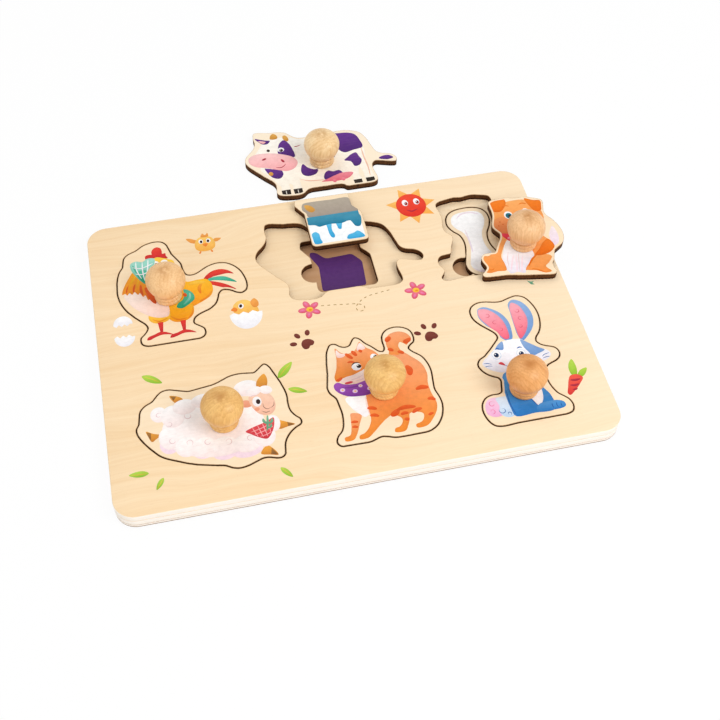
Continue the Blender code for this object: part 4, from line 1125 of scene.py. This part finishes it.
# The small pieces: the ink that fills each one, how far inside its outline, and what is drawn on it
SMALL = {
    "egg": ("cream", 2.4, """
yolk blob 37 158 36 163 38.6 168 43 170.4 47.4 168 50 163 49 158 43 155
cream blob 38.6 166 40.4 168.4 43.4 168.6 41.4 166.4
speck oval 35.6 170.4 0.8 0.6 20 / 50.4 171 0.7 0.5 / 43 150.6 0.9 0.6
"""),
    "wool": ("yarn", 2.0, """
thread line 1.1 50.4 58 58 64.4 68 66.2 76 62 / 1.1 49.4 52 58 58.6 69 60.4 78 56
/ 1.1 50 46 59 52.4 70 54.2 78.6 50 / 1.1 53 41 61 46.4 70 48 77.4 44.4
wine line 0.9 58 38.6 55.4 48 57.6 58 62 65.6 / 0.9 65 37.6 62 47 64 58 69 65.4
/ 0.9 72 39 69.4 47.4 71 57 74.6 63
"""),
    "fish": ("fish", 1.8, """
scale line 0.9 160 44.6 163 50 160 55.6 / 0.9 166 43.6 169 50 166 56.6 / 0.9 172 45.6 174.6 50 172 54.6
/ 0.9 182 50 186 55.6 / 0.9 182 50 186 44.6
white oval 151.6 51.6 2.1 2.1
dark oval 151.4 51.4 1.1 1.3
deep line 0.8 147.6 47.4 150 46.4 152 47
"""),
    "carrot": ("root", 1.8, """
leaf blob 244.6 61.6 245.6 67.8 248.6 71.2 251 72 253.6 71 256.2 67.4 256.2 61.6 250.6 60
yolk line 0.8 250.6 61.6 250.8 66 251 70.6 / 0.8 247.6 62.4 247.8 65.6 248.6 68.6
/ 0.8 253.8 62.4 253.8 65.6 253.2 68.6
groove line 0.9 244 54 248 53 250.6 54 / 0.9 252 46 255 45.6 257.4 46.6
/ 0.9 245.6 39.6 248.6 39 250.6 39.8 / 0.9 250.4 31 253 31.2 253.6 32.2
"""),
    "bone": ("bone", 3.1, """
shade line 1.6 247.8 187 252 190.4 258.6 190.8 264 188 / 1.6 247 141.6 250.4 138.4 256.6 137.8 262.6 140
/ 1.2 250.6 176 250.8 166 250.4 155
"""),
    "carton": ("", 0.0, """
roof blob 147.4 199.4 146.2 203.6 144.2 207 145.6 212.4 152 213.2 165 212.9 176.8 212.6 178 208.4
180.2 203.6 181.2 199.6 164 199
horn blob 146.4 211 150.2 210 152.8 205.4 150.2 203.6 147.2 206.2
milk poly 145.8 199.2 181 199.2 181.2 176.4 179.4 174.7 147.4 174.7 145.7 176.4
splash blob 157.8 192.4 157.7 187.2 158 182 158.9 179 160.3 178.2 161.4 180.2 160.5 184.4 160.6 188
161.2 192.2
/ 164.2 191.4 164.4 188.4 165 185.4 166.6 185 167.6 188 168.2 191
band poly 145.8 199.4 181.2 199.4 181.2 193 145.7 193
band blob 145.7 195 145.9 192.6 150 191.6 152.6 189.7 155.6 190.1 160 190.8 168.3 190.2 171 191 174 193
171 197 147 197
/ 169.4 194.6 171.4 191.4 174 191.4 175.2 189 176.6 185.8 179.4 185.2 181.2 188.6 181.2 196 172 197
splash blob 146.6 184.2 149 185.6 151.2 183.4 151.4 179 152 175.2 147.2 174.9 146.4 179
/ 168.8 175.6 170.2 178.8 174 180 177 181.4 179.6 178.8 180.8 175.6 174.6 174.9
"""),
}
for lot, (name, (ink, margin, art)) in enumerate(SMALL.items(), 7):
    cad = name + "_piece"
    prints = [(ink, inset(piece_outline(cad)[0], margin))] if ink else []
    sheet(name + "_tile", cad, name, prints + at(drawing(art)), lot=lot)

GLUE_FROM, GLUE_TO = 0.25, 4.0


def glue_line(name, below, above):
    """A thin strip of glue between two sheets, just inside the board's rim."""
    z0, z1 = heights(below)[1], heights(above)[0]
    rim = piece_outline(below)[0]
    section = ((GLUE_FROM, z0), (GLUE_FROM, z1), (GLUE_TO, z1), (GLUE_TO, z0))
    verts = [(x, y, z) for depth, z in section for x, y in inset(rim, depth)]
    count = len(rim)
    faces = []
    for r in range(4):
        a, b = r * count, (r + 1) % 4 * count
        faces += [(a + s, a + (s + 1) % count, b + (s + 1) % count, b + s) for s in range(count)]
    obj = make_mesh(name, verts, faces, GLUE, STRIP_SHARP)
    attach(obj, "board")


glue_line("glue_low", "base_board", "middle_board")
glue_line("glue_high", "middle_board", "top_board")

# Knobs and screws, in millimetres: a foot, a ring and a flaring cup with a domed crown
KNOB_R = 12.5
CROWN_HIGH = 9.4
FLARE_HIGH = 12.5
FLARE_START = math.radians(-49)
FOOT_R = 8.8
FOOT_HIGH = 3.2
RING_HIGH = 2.8
GROOVE = 0.7
SWELL_POWER = 0.45
TURNS = 72
FOOT_STEPS = 8
DOME_STEPS = 33
# How dark the painted shade in the knobs' grooves and neck is, how far the smudge on the crown reaches, and
# where the grain lies
GROOVE_SHADE_FADE = 1.4
NECK_SHADE = (1.0, 0.35)
SMUDGE_R = 4.2
GRAIN_LEAN = (8, 26)
GRAIN_TURN = (0, 6.3)
PITH_AT = ((16, 34), (-12, 12), (0, 200))
# A screw's head, shank and cross recess
HEAD_R, SHANK_R = 3.4, 1.6
HEAD_RIM, HEAD_HIGH, POINT_HIGH = 0.3, 1.8, 2.5
CROSS_LONG, CROSS_WIDE, CROSS_DEEP, CROSS_TAPER = 1.9, 0.55, 1.2, 0.7
KNOB_TONE = {
    "rooster": (0.93, 0.60, 0.30), "sheep": (0.90, 0.57, 0.21), "cat": (0.91, 0.59, 0.22),
    "rabbit": (0.87, 0.45, 0.17), "cow": (0.97, 0.73, 0.42), "dog": (0.90, 0.57, 0.30),
}


def turned(profile, spot, z0):
    """A body turned round an upright axis from (radius, height) pairs, first and last on the axis."""
    verts, faces, rings = [], [], []
    for radius, z in profile:
        ids = []
        for k in range(TURNS if radius else 1):
            a = 2 * math.pi * k / TURNS
            ids.append(len(verts))
            verts.append((spot[0] + radius * math.cos(a), spot[1] + radius * math.sin(a), z0 + z))
        rings.append(ids)
    for low, high in zip(rings, rings[1:]):
        for k in range(TURNS):
            n = (k + 1) % TURNS
            ring = [low[k % len(low)], low[n % len(low)], high[n % len(high)], high[k % len(high)]]
            faces.append(tuple(dict.fromkeys(ring)))
    return verts, faces


def knob(name, seed):
    """A knob turned from one block, the place of its grain drawn from its own seed."""
    cad = name + "_knob"
    spot = middle(cad)
    z0 = heights(cad)[0]
    profile = [(0.0, 0.0)]
    # dark is painted shade for each step of the profile: most where it pinches into a groove, and at the neck
    # under the cup.
    dark = [0.0]
    base = 0.0
    for high in (FOOT_HIGH, RING_HIGH):
        for k in range(FOOT_STEPS + 1):
            t = k / FOOT_STEPS
            swell = (4 * t * (1 - t)) ** SWELL_POWER
            profile.append((FOOT_R - GROOVE * (1 - swell), base + high * t))
            dark.append(1.0 - min(1.0, swell * GROOVE_SHADE_FADE))
        base += high
    mid = base + GROOVE - math.sin(FLARE_START) * FLARE_HIGH
    for k in range(DOME_STEPS + 1):
        a = FLARE_START + (math.pi / 2 - FLARE_START) * k / DOME_STEPS
        rise = FLARE_HIGH if a < 0 else CROWN_HIGH
        profile.append((KNOB_R * math.cos(a) if k < DOME_STEPS else 0.0, mid + rise * math.sin(a)))
        dark.append(NECK_SHADE[k] if k < len(NECK_SHADE) else 0.0)
    verts, faces = turned(profile, spot, z0)
    # The painted groove and neck shade at every corner.
    groove = [d for (radius, _), d in zip(profile, dark) for _ in range(TURNS if radius else 1)]
    crown = [math.exp(-(math.dist(v[:2], spot) / SMUDGE_R) ** 2) if v[2] > z0 + mid else 0.0 for v in verts]
    draw = random.Random(seed)
    lean = Matrix.Rotation(math.radians(draw.uniform(*GRAIN_LEAN)), 3, "X")
    tilt = lean @ Matrix.Rotation(draw.uniform(*GRAIN_TURN), 3, "Z")
    pith = Vector([draw.uniform(*reach) for reach in PITH_AT])
    grain = [(tilt @ (Vector(v) - Vector((*spot, z0 + mid))) + pith)[:] for v in verts]
    tone = [(*KNOB_TONE[name], 1.0)] * len(verts)
    obj = make_mesh(
        name + "_grip", verts, faces, KNOB_WOOD, KNOB_SHARP, grain=("FLOAT_VECTOR", grain),
        groove=("FLOAT", groove), crown=("FLOAT", crown), tone=("FLOAT_COLOR", tone))
    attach(obj, name)
    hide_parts(cad)


def screw(name):
    """A countersunk screw with a cross recess, seen from below the plate."""
    cad = name + "_screw"
    spot = middle(cad)
    z0, z1 = heights(cad)
    long = z1 - z0
    profile = [(HEAD_R, 0.0), (HEAD_R, HEAD_RIM), (SHANK_R, HEAD_HIGH)]
    profile += [(SHANK_R, long - POINT_HIGH), (0.0, long)]
    verts, faces = turned(profile, spot, z0)
    cross = []
    for k in range(4):
        c, s = math.cos(k * math.pi / 2), math.sin(k * math.pi / 2)
        for x, y in ((CROSS_WIDE, CROSS_WIDE), (CROSS_LONG, CROSS_WIDE), (CROSS_LONG, -CROSS_WIDE)):
            cross.append((x * c - y * s, x * s + y * c))
    cross = np.array(sorted(cross, key=lambda p: math.atan2(p[1], p[0])))
    first = len(verts)
    count = len(cross)
    verts += [(x, y, z0) for x, y in cross + spot]
    verts += [(x, y, z0 + CROSS_DEEP) for x, y in cross * CROSS_TAPER + spot]
    for k in range(count):
        n = (k + 1) % count
        faces.append((first + n, first + k, first + count + k, first + count + n))
    faces.append(tuple(first + count + k for k in reversed(range(count))))
    rim = np.array([verts[k][:2] for k in range(TURNS)])
    rings = [(rim, np.arange(TURNS)), ((cross + spot)[::-1], np.arange(first, first + count)[::-1])]
    faces += [tuple(t) for t in fill(rings, (), [], False, len(verts))[1]]
    obj = make_mesh(name + "_driver_head", verts, faces, STEEL, SCREW_SHARP)
    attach(obj, name)
    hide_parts(cad)


for seed, name in enumerate(PLATES, 3):
    knob(name, seed)
    screw(name)

# Floor and light
FLOOR_HALF = 3.0
FLOOR_WHITE = (0.95, 0.95, 0.95, 1)
FLOOR_GLOW = 0.93
SKY_COLOUR = (1.0, 0.99, 0.98, 1)
SKY = 0.56
WHITE = {"Color": (1, 1, 1, 1), "Strength": 1.0}
bpy.ops.mesh.primitive_plane_add(size=2 * FLOOR_HALF, location=(0, 0, 0))
floor = bpy.context.object
floor.name = "floor"
n = Nodes(bpy.data.materials.new("floor_white"))
paper = n.add("BsdfDiffuse", {"Color": FLOOR_WHITE})
n.white_when_seen("OutputMaterial", FLOOR_GLOW, paper, n.add("Emission", WHITE))
floor.data.materials.append(n.owner)

scene.world = bpy.data.worlds.new("studio")
n = Nodes(scene.world)
soft = n.add("Background", {"Color": SKY_COLOUR, "Strength": SKY})
n.white_when_seen("OutputWorld", 1.0, soft, n.add("Background", WHITE))


def lamp(name, place, size, watts):
    """A round lamp aimed at the middle of the board."""
    data = bpy.data.lights.new(name, "AREA")
    data.shape = "DISK"
    data.size = size
    data.energy = watts
    obj = bpy.data.objects.new(name, data)
    obj.location = place
    obj.rotation_mode = "QUATERNION"
    obj.rotation_quaternion = (-Vector(place)).to_track_quat("-Z", "Y")
    scene.collection.objects.link(obj)


lamp("key_light", (0.64, -0.60, 0.98), 0.75, 8.2)
lamp("top_light", (-0.25, 0.55, 1.15), 0.9, 3.0)
lamp("front_light", (-0.75, -1.05, 0.40), 0.9, 2.8)

scene.view_settings.view_transform = "Standard"
